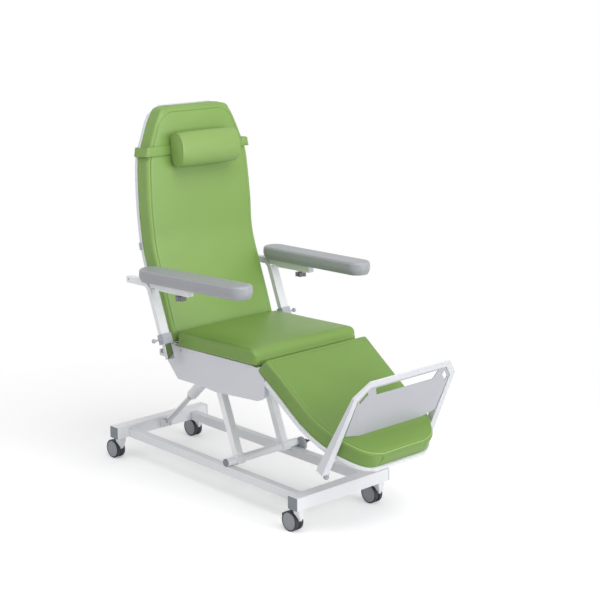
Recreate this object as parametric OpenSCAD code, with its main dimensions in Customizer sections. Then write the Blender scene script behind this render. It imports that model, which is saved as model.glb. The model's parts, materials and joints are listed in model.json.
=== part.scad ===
/* [Base frame] */
// Side of the square front and rear cross tubes
cross_tube = 50; // [46:1:54]
// Wall of the cross tubes
cross_tube_wall = 3; // [2:0.5:4]
// Length of each cross tube, without its end caps
base_w = 488; // [470:2:510]
// Distance between the centres of the two cross tubes
wheelbase = 1120; // [1080:5:1160]
// Width of each side rail
rail_w = 33; // [28:1:36]
// Height of each side rail
rail_h = 37; // [34:1:40]
// Distance over the outer faces of the two side rails
rails_over = 372; // [362:2:378]
// Wall of the side rails
rail_wall = 2.5; // [1.5:0.5:4]
// Thickness of the plastic end caps
cap_t = 3; // [2:0.5:5]
// Diameter of the pivot tube
pivot_tube_d = 33; // [30:1:36]
// Wall of the pivot tube
pivot_tube_wall = 3; // [2:0.5:5]
// Length of the pivot tube
pivot_tube_len = 376; // [374:2:384]
// Distance from the rear cross tube's centre forward to the pivot tube
pivot_setback = 670; // [650:5:690]

/* [Casters] */
// Diameter of a caster wheel
wheel_d = 80; // [74:1:84]
// Width of one wheel of the twin pair
wheel_w = 16; // [12:1:18]
// Gap between the two wheels of a caster
wheel_gap = 9; // [8:0.5:12]
// Height from the floor to the underside of the cross tube
caster_h = 99; // [96:1:106]
// Distance from the swivel axis back to the wheel axle
caster_trail = 36; // [32:1:40]
// Distance from a cross tube's end in to the swivel axis
caster_inset = 32; // [28:1:40]
// Diameter of the caster stem
stem_d = 11; // [9:1:12]
// Length of the caster stem inside its socket
stem_len = 34; // [26:1:38]
// Diameter of the wheel axle
axle_d = 8; // [6:1:10]
// Thickness of the tyre's tread
tyre_t = 6; // [4:1:8]

/* [Lift arms and tilt] */
// Side of the square lift arm tubes
lift_arm = 30; // [26:1:34]
// Wall of the lift arm tubes
lift_arm_wall = 2.5; // [1.5:0.5:4]
// Distance between the centres of the two lift arms
lift_arm_spread = 240; // [230:2:260]
// Length of a lift arm, from the pivot tube's axis to the rear cross member's
lift_arm_len = 473; // [460:1:486]
// Backward lean of the lift arms, in degrees
lift_lean = 22; // [20:0.5:24]
// Outer diameter of the sleeves on the pivot tube
sleeve_d = 43; // [41:1:48]
// Width of each sleeve
sleeve_w = 40; // [34:1:46]
// Diameter of the tilt actuator's cylinder
tilt_cylinder_d = 45; // [38:1:48]
// Diameter of the tilt actuator's rod
tilt_rod_d = 22; // [18:1:24]
// Length of the tilt actuator's cylinder
tilt_cylinder_len = 312; // [280:2:330]
// Distance of the lower actuator pin in front of the rear cross tube
tilt_pin_reach = 22; // [20:1:28]

/* [Seat] */
// Width of the seat cushion
seat_w = 536; // [520:2:550]
// Length of the seat cushion
seat_len = 484; // [470:2:500]
// Thickness of the seat cushion at its edges
seat_t = 56; // [48:1:62]
// Rise of the seat towards the front, in degrees
seat_rise = 2; // [0:0.5:4]
// Side of the square seat frame tubes
frame_tube = 30; // [28:1:32]
// Wall of the seat frame tubes
frame_wall = 2.5; // [1.5:0.5:4]
// Distance between the centres of the two seat rails
seat_rail_spread = 450; // [440:2:456]
// Thickness of the plastic side covers
cover_t = 3; // [2:0.5:4]
// Distance over the outer faces of the two side covers
covers_over = 524; // [516:2:528]
// Depth of the side covers below the seat
cover_h = 140; // [120:2:150]

/* [Backrest] */
// Full width of the back cushion
back_w = 540; // [520:2:548]
// Thickness of the back cushion at its edges
back_t = 60; // [50:1:66]
// Length of the lower back, from its lower edge to the bend
back_lower_len = 400; // [380:5:420]
// Length of the upper back, from the bend to its top
back_upper_len = 545; // [520:5:570]
// Backward lean of the lower back, in degrees
back_lean = 20; // [18:0.5:22]
// Backward lean of the upper back, in degrees
back_upper_lean = 4.8; // [3:0.2:8]
// Thickness of the back board
back_board_t = 14; // [10:1:18]
// Width that the back board shows beyond the cushion
back_lip = 3; // [1:0.5:5]
// Side of the back frame's uprights
back_upright = 20; // [16:1:24]

/* [Leg section] */
// Full width of the leg cushion at the hinge
leg_w = 532; // [516:2:540]
// Length of the leg cushion
leg_len = 562; // [540:2:580]
// Thickness of the leg cushion at its edges
leg_t = 60; // [52:1:64]
// Length of the leg cushion in front of its bend
leg_lower_len = 275; // [260:5:290]
// Slope of the upper part of the leg cushion, in degrees
leg_slope_upper = 35.3; // [32:0.1:37]
// Slope of the lower part of the leg cushion, in degrees
leg_slope_lower = 26.8; // [24:0.1:30]
// Thickness of the leg tray
tray_t = 14; // [10:1:16]
// Width that the leg tray shows beyond the cushion
tray_lip = 8; // [4:1:10]

/* [Footboard] */
// Height of the footboard above the underside of the leg cushion
foot_h = 330; // [314:2:346]
// Full width of the footboard over its lower ends
foot_w = 566; // [560:2:580]
// Width of a footboard arm, seen from the front
foot_arm_w = 34; // [32:1:35]
// Depth of the footboard frame at its lower ends
foot_arm_depth = 35; // [30:1:42]
// Depth of the footboard frame at its top
foot_top_depth = 7; // [5:1:14]
// Thickness of the footboard panel
foot_panel_t = 4; // [3:0.5:6]

/* [Armrests] */
// Distance between the centres of the two armrest posts
arm_spread = 630; // [626:2:650]
// Width of an armrest post
arm_post_w = 38; // [34:1:42]
// Depth of an armrest post
arm_post_d = 22; // [20:1:26]
// Wall of an armrest post
arm_post_wall = 2.5; // [2:0.5:3]
// Distance from the seat rail up to the armrest bolt, along the post
arm_post_len = 284; // [276:1:300]
// Backward lean of the armrest posts, in degrees
arm_lean = 21.5; // [19:0.5:24]
// Length of an armrest pad
pad_len = 606; // [560:2:640]
// Width of an armrest pad
pad_w = 100; // [90:1:104]
// Thickness of an armrest pad
pad_t = 52; // [40:1:60]
// Turn of the pads in towards the front, in degrees
pad_turn = 2; // [1:0.25:2.5]
// Rise of the armrests towards the front, in degrees
pad_rise = 1.9; // [1:0.1:3]
// Width of an armrest bar
bar_w = 28; // [22:1:29]
// Height of an armrest bar
bar_h = 25; // [22:1:26]

/* [Neck pillow] */
// Length of the neck pillow
pillow_len = 290; // [270:2:320]
// Height of the neck pillow
pillow_h = 142; // [120:2:150]
// Thickness of the neck pillow
pillow_t = 86; // [70:2:100]
// Width of the pillow strap
strap_w = 36; // [30:1:44]

/* [Hidden] */
$fn = 64;

// Fits and small gaps shared by all pieces
running_fit = 0.05;
seat_gap = 0.3;
slide_gap = 0.3;
side_play = 0.5;
over = 1;
open_pivot_play = 2.2;
lever_play = 5.5;
pin_d = 12;
ear_t = 6;

// Colours
white = [0.86, 0.88, 0.90];
cool_grey = [0.60, 0.63, 0.67];
dark = [0.16, 0.17, 0.19];
steel = [0.72, 0.73, 0.75];
vinyl = [0.50, 0.66, 0.33];

// Key points, as [y, z] measured from the pivot tube's axis
member_rel = lift_arm_len * [sin(lift_lean), cos(lift_lean)];
member_set = 34;
rise_y = [cos(seat_rise), -sin(seat_rise)];
rise_z = [sin(seat_rise), cos(seat_rise)];
seat_rel = member_rel + member_set * rise_y + (frame_tube / 2 + seat_gap) * rise_z;

// Places in the seat's own plane: forward of its rear edge, and below its underside
frame_drop = frame_tube / 2 + seat_gap;
back_hinge_reach = 56;
leg_hinge_reach = 2;
leg_hinge_drop = 20;
leg_hinge_rel = seat_rel - (seat_len + leg_hinge_reach) * rise_y - leg_hinge_drop * rise_z;
back_hinge_rel = seat_rel + back_hinge_reach * rise_y - frame_drop * rise_z;

// The leg cushion's underside runs from the foot end, through its bend, up to the hinge
leg_bend_run = 80;
leg_s1 = leg_lower_len - leg_bend_run / 2;
leg_s2 = leg_lower_len + leg_bend_run / 2;
leg_lift = 10.5;
leg_end_gap = 1;
leg_end_rel = leg_hinge_rel - leg_end_gap * [cos(leg_slope_upper), sin(leg_slope_upper)]
    + leg_lift * [-sin(leg_slope_upper), cos(leg_slope_upper)];
function leg_local(s) = bend_at(s, leg_s1, leg_s2, leg_slope_lower, leg_slope_upper);
leg_start_rel = leg_end_rel - leg_local(leg_len);

// The footboard stands square to the lower slope
foot_s = 107;
foot_set_top = 3;
foot_set_low = -16.5;
foot_rel = leg_start_rel + leg_local(foot_s);
front_reach = -(foot_rel[0] + foot_set_top * cos(leg_slope_lower) - foot_h * sin(leg_slope_lower));
rear_reach = pivot_setback + caster_trail + wheel_d / 2;

// The origin is the middle of the whole length, so the pivot tube's place follows from the reaches
pivot_y = (front_reach - rear_reach) / 2;
pivot_z = caster_h + rail_h + pivot_tube_d / 2;
pivot = [pivot_y, pivot_z];
rear_tube_y = pivot_y + pivot_setback;
front_tube_y = rear_tube_y - wheelbase;
rail_x = rails_over / 2 - rail_w / 2;
caster_x = base_w / 2 - caster_inset;

seat_o = pivot + seat_rel;
back_hinge = pivot + back_hinge_rel;
leg_hinge = pivot + leg_hinge_rel;
leg_start = pivot + leg_start_rel;
foot_o = pivot + foot_rel;

// Seat frame places
seat_rail_x = seat_rail_spread / 2;
rail_inner = seat_rail_x - frame_tube / 2;
rail_outer = seat_rail_x + frame_tube / 2;
mid_member = 236;
front_member = 426;
tongue_r = 10;
tongue_from = 40;
rail_front = 26;

// Tilt actuator: lower pin on the base, upper pin under the rear cross member
tilt_low = [rear_tube_y - cross_tube / 2 - tilt_pin_reach, caster_h + cross_tube / 2];
tilt_top_back = 21;
tilt_top_drop = 71;
tilt_top = pivot + member_rel + [tilt_top_back, -tilt_top_drop];
tilt_run = norm(tilt_low - tilt_top);
tilt_eye_w = 24;
tilt_eye_r = 14;
tilt_head = 20;
gland_len = 22;
rod_inside = 60;

// Gas springs of the back and of the leg section
spring_d = 22;
spring_rod_d = 10;
spring_x = 70;
spring_pin_d = 8;
spring_eye_w = 12;
spring_eye_r = 8;
spring_drop = 44;
spring_split = 22;
lever_t = 5;
back_lever = 45;
back_lever_angle = -60;
leg_lever = 60;
leg_lever_angle = -74;
spring_mid = seat_o - mid_member * rise_y - (frame_drop + spring_drop) * rise_z;
back_spring_a = spring_mid - spring_split / 2 * [1, 0];
leg_spring_a = spring_mid + spring_split / 2 * [1, 0];
back_spring_b = back_hinge + back_lever * [cos(back_lever_angle), sin(back_lever_angle)];
leg_spring_b = leg_hinge + leg_lever * [cos(leg_lever_angle), sin(leg_lever_angle)];
spring_rod_show = 62;
spring_rod_inside = 60;

// Backrest path: up the board's front face, from the lower edge to the top
back_bend_run = 120;
back_len = back_lower_len + back_upper_len;
back_s1 = back_lower_len - back_bend_run / 2;
back_s2 = back_lower_len + back_bend_run / 2;
back_rise = 10.9;
back_start = back_hinge + back_rise * [sin(back_lean), cos(back_lean)];
hinge_tube_d = 20;
back_upright_x = 150;

// Cushion forms
cushion_r = 14;
edge_r = 4;
cushion_pull = 3;
arc_steps = 3;
crown_steps = 6;
end_steps = 4;
seat_crown = 7;
back_crown = 7;
leg_crown = 7;

// Where along the length each cushion takes its width, in shares of length and of half width
bend_w_share = 0.99;
seat_plan_shares = [[0.1, 1], [0.25, 0.994], [0.45, 0.99], [0.65, 0.992], [0.82, 0.997], [0.9, 1]];
back_plan_shares = [[0.04, 0.996], [0.12, 1], [0.22, 0.994], [0.32, 0.99], [0.36, 0.99], [0.4, 0.99],
    [0.44, 0.99], [0.49, 0.992], [0.56, 1], [0.64, 0.994], [0.711, 0.981], [0.764, 0.968], [0.806, 0.937],
    [0.87, 0.844], [0.933, 0.752], [0.965, 0.69], [0.972, 0.655]];
leg_plan_shares = [[0, 0.49], [0.01, 0.565], [0.035, 0.648], [0.07, 0.715], [0.105, 0.765], [0.16, 0.838],
    [0.22, 0.895], [0.3, 0.94], [0.38, 0.966], [0.45, 0.975], [0.52, 0.98], [0.6, 0.984], [0.75, 0.987],
    [0.88, 0.995], [0.96, 1]];

// Outline of a side cover, in shares of its length and depth, from the seat's rear lower corner
cover_front_over = 44;
cover_rear_over = 54;
cover_len = seat_len + cover_front_over + cover_rear_over;
cover_shares = [[0.031, -0.02], [0.093, -0.514], [-0.017, -0.979], [-0.259, -0.957], [-0.410, -0.993],
    [-0.838, -0.85], [-0.902, -0.693], [-0.907, -0.636], [-0.907, -0.193], [-0.831, 0.043], [-0.79, 0.09]];
screw_share = [-0.05, -0.12];
cover_x = covers_over / 2;

// Armrests
arm_x = arm_spread / 2;
arm_root_back = 21;
arm_root = seat_o - arm_root_back * rise_y - frame_drop * rise_z;
arm_dir = [sin(arm_lean), cos(arm_lean)];
arm_back = [cos(arm_lean), -sin(arm_lean)];
bolt_back = 14;
bolt_d = 8;
ear_r = 10.5;
bar_top = 12;
bolt = arm_root + arm_post_len * arm_dir + bolt_back * arm_back;
stub_below = 27;
stub_above = 196;
post_from = 40;
post_walls_below_bolt = 26;
collar_from = 34;
collar_len = 40;
collar_t = 3;
bracket_t = 8;
bracket_low = 27;
bracket_tall = 13;
bracket_rear = [39, 47];
bracket_rear_top = 16;
ball_d = 18;
ball_reach = 36;
plunger_d = 7;
bar_rear = 128;
bar_front = 261;
bar_deep_from = 60;
bar_deep = 7;
bar_wall = 2.5;
pad_rear = 17;
pad_edge_r = 13;
pad_inset = 9;
star_at = 199;
star_d = 46;
star_t = 17;
star_stem_d = 10;
star_gap = 6;
star_lobes = 5;
pad_travel_out = 50;
pad_travel_in = 20;
insert_depth = 16;

// Neck pillow: its middle lies this far up the upper back
pillow_s = 772;
pillow_clear = 3.5;
strap_t = 2;

// Footboard outline, from a lower end up to the top bar, in shares of half width and height
foot_arm_shares = [[1, -0.227], [0.928, 0.812], [0.731, 1]];
foot_inner_shares = [[0.848, 0.782], [0.694, 0.927]];
hand_slot_shares = [[0.583, 0.897], [0.519, 0.785]];
shoulder_slot_shares = [[0.717, 0.867], [0.816, 0.755], [0.774, 0.721], [0.678, 0.824]];
panel_side_shares = [[0.816, 0.709], [0.587, 0.258]];
wing_shares = [[0.838, 0.74], [0.832, 0.29]];
panel_lean = 4.6;
panel_set_low = -19.8;
panel_lap = 1.5;
foot_bar_h = 25;
slide_bar_in = 125;
leg_rail_w = 20;
leg_rail_h = 25;
leg_rail_wall = 2.5;
leg_rail_x = 150;
leg_rail_len = 150;
knob_d = 22;
knob_h = 10;
knob_stem_d = 14;
knob_stem = 18;

// A point on a path that runs straight, bends evenly between s1 and s2, and runs straight again
function bend_at(s, s1, s2, h1, h2) =
    s <= s1 ? s * [cos(h1), sin(h1)] :
    let (r = (s2 - s1) * 180 / (PI * (h2 - h1)),
         h = h1 + (h2 - h1) * (min(s, s2) - s1) / (s2 - s1))
    s1 * [cos(h1), sin(h1)] + r * [sin(h) - sin(h1), cos(h1) - cos(h)]
        + max(s - s2, 0) * [cos(h2), sin(h2)];
// The path's heading there, in degrees
function bend_heading(s, s1, s2, h1, h2) = h1 + (h2 - h1) * min(max((s - s1) / (s2 - s1), 0), 1);

// A cushion's cross-section: flat below, with drawn-in sides, rounded upper edges and a crown
function section(w, t, pull, crown) =
    let (r = min(cushion_r, t * 0.45), b = min(edge_r, t * 0.2), m = w - r)
    concat([[-(w - b), 0], [w - b, 0], [w, b], [w - pull, t / 2]],
        [for (i = [0:arc_steps]) [m + r * cos(90 * i / arc_steps), t - r + r * sin(90 * i / arc_steps)]],
        [for (i = [1:crown_steps - 1]) let (u = 1 - 2 * i / crown_steps) [m * u, t + crown * (1 - u * u)]],
        [for (i = [0:arc_steps]) [-m - r * sin(90 * i / arc_steps), t - r + r * cos(90 * i / arc_steps)]],
        [[-(w - pull), t / 2], [-w, b]]);

// A board's cross-section, under the path
function board_section(w, t) = [[-w, -t], [w, -t], [w, -seat_gap], [-w, -seat_gap]];

// Stations of a cushion as [s, half width, thickness, crown], with both ends rounded
function stations(plan, len, half_w, t, crown, e0, w0, t0, e1, w1, t1) = concat(
    [for (i = [0:end_steps - 1]) let (a = 90 * i / end_steps)
        [e0 * (1 - cos(a)), half_w * plan[0][1] - w0 * (1 - sin(a)), t - t0 * (1 - sin(a)), crown * sin(a) / 2]],
    [for (p = plan) if (p[0] * len > e0 && p[0] * len < len - e1) [p[0] * len, half_w * p[1], t, crown]],
    [for (i = [end_steps - 1:-1:0]) let (a = 90 * i / end_steps)
        [len - e1 * (1 - cos(a)), half_w * plan[len(plan) - 1][1] - w1 * (1 - sin(a)),
         t - t1 * (1 - sin(a)), crown * sin(a) / 2]]);

// Rings of points joined into one closed skin
module skin(rings) {
    m = len(rings[0]);
    n = len(rings);
    sides = [for (i = [0:n - 2], j = [0:m - 1], k = [0:1])
        let (a = i * m + j, b = i * m + (j + 1) % m)
        k == 0 ? [a, b, b + m] : [a, b + m, a + m]];
    near_end = [for (j = [1:m - 2]) [0, j + 1, j]];
    last = (n - 1) * m;
    far_end = [for (j = [1:m - 2]) [last, last + j, last + j + 1]];
    polyhedron([for (r = rings) for (p = r) p], concat(sides, near_end, far_end), convexity = 4);
}

// Sweeps cross-sections along a bent path that starts at [y, z]
module sweep(start, s1, s2, h1, h2, st, board_t = 0) {
    skin([for (q = st)
        let (c = start + bend_at(q[0], s1, s2, h1, h2), h = bend_heading(q[0], s1, s2, h1, h2))
        [for (p = board_t > 0 ? board_section(q[1], board_t) : section(q[1], q[2], q[4], q[3]))
            [p[0], c[0] - sin(h) * p[1], c[1] + cos(h) * p[1]]]]);
}
function pulled(st, pull) = [for (i = [0:len(st) - 1])
    concat(st[i], [i < end_steps || i >= len(st) - end_steps ? 0 : pull])];

// Helpers for pieces that lie across the chair
module block(x0, x1, y0, y1, z0, z1) {
    translate([x0, y0, z0]) cube([x1 - x0, y1 - y0, z1 - z0]);
}
module cross_rod(d, x0, x1, at = [0, 0]) {
    translate([x0, at[0], at[1]]) rotate([0, 90, 0]) cylinder(d = d, h = x1 - x0);
}
module slab(x0, x1) {
    translate([x0, 0, 0]) rotate([90, 0, 90]) linear_extrude(x1 - x0) children();
}
module both_sides() {
    children();
    mirror([1, 0, 0]) children();
}
module on_side(side) {
    if (side > 0) children();
    else mirror([1, 0, 0]) children();
}
// Frame with its origin at p and its z axis along the line to q
module along(p, q) {
    translate([0, p[0], p[1]]) rotate([-atan2(q[0] - p[0], q[1] - p[1]), 0, 0]) children();
}
// A bar outline from a to b with round ends
module link_2d(a, b, w) {
    d = b - a;
    n = [-d[1], d[0]] / norm(d) * w / 2;
    polygon([a + n, b + n, b - n, a - n]);
    translate(a) circle(d = w);
    translate(b) circle(d = w);
}

// Frames of the moving sections, with y to the rear and z square to the surface
module in_seat() {
    translate([0, seat_o[0], seat_o[1]]) rotate([-seat_rise, 0, 0]) children();
}
module in_back() {
    translate([0, back_hinge[0], back_hinge[1]]) rotate([-back_lean, 0, 0]) children();
}
module in_leg_upper() {
    translate([0, leg_hinge[0], leg_hinge[1]]) rotate([leg_slope_upper, 0, 0]) children();
}
module in_foot() {
    translate([0, foot_o[0], foot_o[1]]) rotate([leg_slope_lower, 0, 0]) children();
}
module in_bar(side) {
    on_side(side) translate([arm_x, bolt[0], bolt[1]]) rotate([-pad_rise, 0, 0]) children();
}
module in_post(side) {
    on_side(side) translate([arm_x, arm_root[0], arm_root[1]]) rotate([-arm_lean, 0, 0]) children();
}

// Base
module cross_tube_at(y) {
    socket_w = stem_d + 4 * cross_tube_wall;
    color(white) difference() {
        union() {
            difference() {
                block(-base_w / 2, base_w / 2, y - cross_tube / 2, y + cross_tube / 2,
                    caster_h, caster_h + cross_tube);
                block(-base_w / 2 - over, base_w / 2 + over,
                    y - cross_tube / 2 + cross_tube_wall, y + cross_tube / 2 - cross_tube_wall,
                    caster_h + cross_tube_wall, caster_h + cross_tube - cross_tube_wall);
            }
            both_sides() block(caster_x - socket_w / 2, caster_x + socket_w / 2,
                y - cross_tube / 2 + cross_tube_wall, y + cross_tube / 2 - cross_tube_wall,
                caster_h + cross_tube_wall, caster_h + cross_tube - cross_tube_wall);
        }
        both_sides() translate([caster_x, y, caster_h - over])
            cylinder(d = stem_d + 2 * running_fit, h = stem_len + 2 * over);
    }
}
module rear_cross_tube() cross_tube_at(rear_tube_y);
module front_cross_tube() cross_tube_at(front_tube_y);
module side_rails() {
    color(white) both_sides() difference() {
        block(rail_x - rail_w / 2, rail_x + rail_w / 2, front_tube_y + cross_tube / 2,
            rear_tube_y - cross_tube / 2, caster_h, caster_h + rail_h);
        block(rail_x - rail_w / 2 + rail_wall, rail_x + rail_w / 2 - rail_wall,
            front_tube_y + cross_tube / 2 - over, rear_tube_y - cross_tube / 2 + over,
            caster_h + rail_wall, caster_h + rail_h - rail_wall);
    }
}
module tube_end_caps() {
    plug = 12;
    color(cool_grey) {
        both_sides() for (y = [front_tube_y, rear_tube_y]) {
            block(base_w / 2, base_w / 2 + cap_t, y - cross_tube / 2, y + cross_tube / 2,
                caster_h, caster_h + cross_tube);
            block(base_w / 2 - plug, base_w / 2,
                y - cross_tube / 2 + cross_tube_wall + seat_gap, y + cross_tube / 2 - cross_tube_wall - seat_gap,
                caster_h + cross_tube_wall + seat_gap, caster_h + cross_tube - cross_tube_wall - seat_gap);
        }
        mirror([1, 0, 0]) {
            cross_rod(pivot_tube_d, pivot_tube_len / 2, pivot_tube_len / 2 + cap_t, pivot);
            cross_rod(pivot_tube_d - 2 * pivot_tube_wall - seat_gap, pivot_tube_len / 2 - plug,
                pivot_tube_len / 2, pivot);
        }
    }
}
module pivot_tube() {
    color(white) difference() {
        cross_rod(pivot_tube_d, -pivot_tube_len / 2, pivot_tube_len / 2, pivot);
        cross_rod(pivot_tube_d - 2 * pivot_tube_wall, -pivot_tube_len / 2 - over,
            pivot_tube_len / 2 + over, pivot);
    }
}
clevis_gap = tilt_eye_w / 2 + side_play;
clevis_r = 16;
module tilt_clevis() {
    face_y = rear_tube_y - cross_tube / 2;
    plate_t = 5;
    color(white) {
        block(-clevis_gap - ear_t, clevis_gap + ear_t, face_y - plate_t, face_y,
            tilt_low[1] - clevis_r, tilt_low[1] + clevis_r);
        both_sides() difference() {
            union() {
                block(clevis_gap, clevis_gap + ear_t, tilt_low[0], face_y - plate_t,
                    tilt_low[1] - clevis_r, tilt_low[1] + clevis_r);
                cross_rod(2 * clevis_r, clevis_gap, clevis_gap + ear_t, tilt_low);
            }
            cross_rod(pin_d + 2 * running_fit, clevis_gap - over, clevis_gap + ear_t + over, tilt_low);
        }
    }
    color(dark) cross_rod(pin_d, -clevis_gap - ear_t - cap_t, clevis_gap + ear_t + cap_t, tilt_low);
}

// Lock on the left end of the pivot tube
lock_d = 60;
lock_t = 14;
lock_set = [-25, -5];
lock_c = pivot + lock_set;
lock_x0 = pivot_tube_len / 2 + seat_gap;
lock_x1 = lock_x0 + lock_t;
handle_hub_d = 20;
handle_reach = 20;
handle_angle = 140;
handle_tip = lock_c + handle_reach * [cos(handle_angle), sin(handle_angle)];
handle_t = 5;
handle_pin_d = 9;
handle_pin_len = 26;
module pivot_lock_housing() {
    hub = pivot_tube_d - 2 * pivot_tube_wall - seat_gap;
    chamfer = 4;
    color(cool_grey) {
        translate([lock_x0, lock_c[0], lock_c[1]]) rotate([0, 90, 0]) rotate_extrude() polygon([
            [0, 0], [lock_d / 2 - chamfer, 0], [lock_d / 2, chamfer], [lock_d / 2, lock_t - chamfer],
            [lock_d / 2 - chamfer, lock_t], [0, lock_t]]);
        cross_rod(hub, lock_x0 - lock_d / 2, lock_x0, pivot);
        cross_rod(handle_pin_d, lock_x1, lock_x1 + 2 * handle_t, lock_c);
    }
}
module pivot_lock_handle() {
    x0 = lock_x1 + side_play;
    color(dark) {
        difference() {
            slab(x0, x0 + handle_t) link_2d(lock_c, handle_tip, handle_hub_d);
            cross_rod(handle_pin_d + 2 * running_fit, x0 - over, x0 + handle_t + over, lock_c);
        }
        cross_rod(handle_pin_d, x0 + handle_t, x0 + handle_t + handle_pin_len, handle_tip);
    }
}

// Casters
web_t = wheel_gap - 2 * side_play;
hub_d = wheel_d - 2 * tyre_t;
hub_wall = 4;
boss_d = 26;
boss_h = 22;
module caster_place(side, y) {
    translate([side * caster_x, y, 0]) children();
}
axle_at = [caster_trail, wheel_d / 2];
web_r = 15;

// Brake pedal, hinged at the rear of the web, with its tab just behind the tyres
pedal_t = 3;
pedal_w = 18;
pedal_tab_t = 5;
pedal_pin_d = 5;
pedal_eye = 11;
pedal_boss = 13;
pedal_at = axle_at + [11, 16];
pedal_dir = (pedal_at - axle_at) / norm(pedal_at - axle_at);
pedal_tab = [45, 6];
pedal_tab_h = 12;

// The hood is a shield over the front of the wheels: its side outline, and its half width seen from the front
hood_gap = 1.5;
hood_side = [[-16, 0], [-17, -19], [-14, -38], [-9, -50], [-3, -54], [16, -30], [13, 0]];
hood_front = [[15, 0], [15, -16], [10, -36], [5, -50], [2, -55]];
module caster_housing(side, y, braked) {
    hood_top = caster_h - seat_gap;
    color(white) caster_place(side, y) {
        translate([0, 0, caster_h - boss_h]) cylinder(d = boss_d, h = boss_h - seat_gap);
        translate([0, 0, caster_h - seat_gap - over]) cylinder(d = stem_d, h = stem_len + over);
        intersection() {
            difference() {
                slab(-boss_d, boss_d) translate([0, hood_top]) polygon(hood_side);
                cross_rod(wheel_d + 2 * hood_gap, -boss_d - over, boss_d + over, axle_at);
            }
            translate([0, boss_d, hood_top]) rotate([90, 0, 0]) linear_extrude(2 * boss_d) polygon(concat(
                hood_front, [for (i = [len(hood_front) - 1:-1:0]) [-hood_front[i][0], hood_front[i][1]]]));
        }
        difference() {
            slab(-web_t / 2, web_t / 2) {
                polygon([[-boss_d / 2, caster_h - boss_h / 2], [-boss_d / 2, caster_h - 2 * boss_h],
                    axle_at + web_r * [-0.5, -0.866], axle_at + web_r * [0.866, 0.5],
                    [boss_d / 2, caster_h - boss_h / 2]]);
                translate(axle_at) circle(r = web_r);
                if (braked) {
                    translate(pedal_at) circle(r = pedal_boss / 2);
                    polygon([for (k = [[0, -1], [1, -1], [1, 1], [0, 1]])
                        axle_at + k[0] * (pedal_at - axle_at)
                            + k[1] * pedal_eye / 2 * [-pedal_dir[1], pedal_dir[0]]]);
                }
            }
            if (braked) {
                slab(-pedal_t / 2 - side_play, pedal_t / 2 + side_play)
                    polygon([for (k = [[-0.55, -1], [1, -1], [1, 1], [-0.55, 1]])
                        pedal_at + pedal_boss * (k[0] * pedal_dir + k[1] * [-pedal_dir[1], pedal_dir[0]])]);
            }
        }
        both_sides() cross_rod(axle_d, 0, wheel_gap / 2 + wheel_w - hub_wall - side_play, axle_at);
        if (braked) cross_rod(pedal_pin_d, side_play - web_t / 2, web_t / 2 - side_play, pedal_at);
    }
}
module wheel_pair(side, y, r_out, r_in) {
    caster_place(side, y) both_sides() difference() {
        cross_rod(2 * r_out, wheel_gap / 2, wheel_gap / 2 + wheel_w, axle_at);
        cross_rod(2 * r_in, wheel_gap / 2 - over, wheel_gap / 2 + wheel_w + over, axle_at);
    }
}
module caster_hubs(side, y) {
    dish = 1.5;
    rim_t = 3;
    color(cool_grey) caster_place(side, y) both_sides() difference() {
        cross_rod(hub_d, wheel_gap / 2, wheel_gap / 2 + wheel_w, axle_at);
        cross_rod(axle_d + 2 * running_fit, wheel_gap / 2 - over,
            wheel_gap / 2 + wheel_w - hub_wall, axle_at);
        cross_rod(hub_d - 2 * rim_t, wheel_gap / 2 + wheel_w - dish, wheel_gap / 2 + wheel_w + over, axle_at);
    }
}
module caster_tyres(side, y) color(dark) wheel_pair(side, y, wheel_d / 2, hub_d / 2);
module brake_pedal(side) {
    tab_at = axle_at + pedal_tab;
    color(dark) caster_place(side, front_tube_y) {
        difference() {
            slab(-pedal_t / 2, pedal_t / 2) {
                translate(pedal_at) circle(r = pedal_eye / 2);
                link_2d(pedal_at, tab_at + [pedal_tab_t / 2, pedal_tab_h / 2], pedal_tab_t);
            }
            cross_rod(pedal_pin_d + 2 * running_fit, -pedal_t, pedal_t, pedal_at);
        }
        block(-pedal_w / 2, pedal_w / 2,
            tab_at[0], tab_at[0] + pedal_tab_t, tab_at[1], tab_at[1] + pedal_tab_h);
    }
}

// Seat
module seat_cushion() {
    color(vinyl) in_seat() sweep([-seat_len, 0], 2 * seat_len, 3 * seat_len, 0, 1,
        pulled(stations(seat_plan_shares, seat_len, seat_w / 2, seat_t, seat_crown,
            34, 12, 32, 30, 42, 12), cushion_pull));
}
module square_tube(len_x0, len_x1, y, z, s, t) {
    difference() {
        block(len_x0, len_x1, y - s / 2, y + s / 2, z - s / 2, z + s / 2);
        block(len_x0 - over, len_x1 + over, y - s / 2 + t, y + s / 2 - t, z - s / 2 + t, z + s / 2 - t);
    }
}
seat_back_hinge = [back_hinge_reach, -frame_drop];
seat_leg_hinge = [-seat_len - leg_hinge_reach, -leg_hinge_drop];
leg_ear_gap = leg_rail_w / 2 + side_play;
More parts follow.
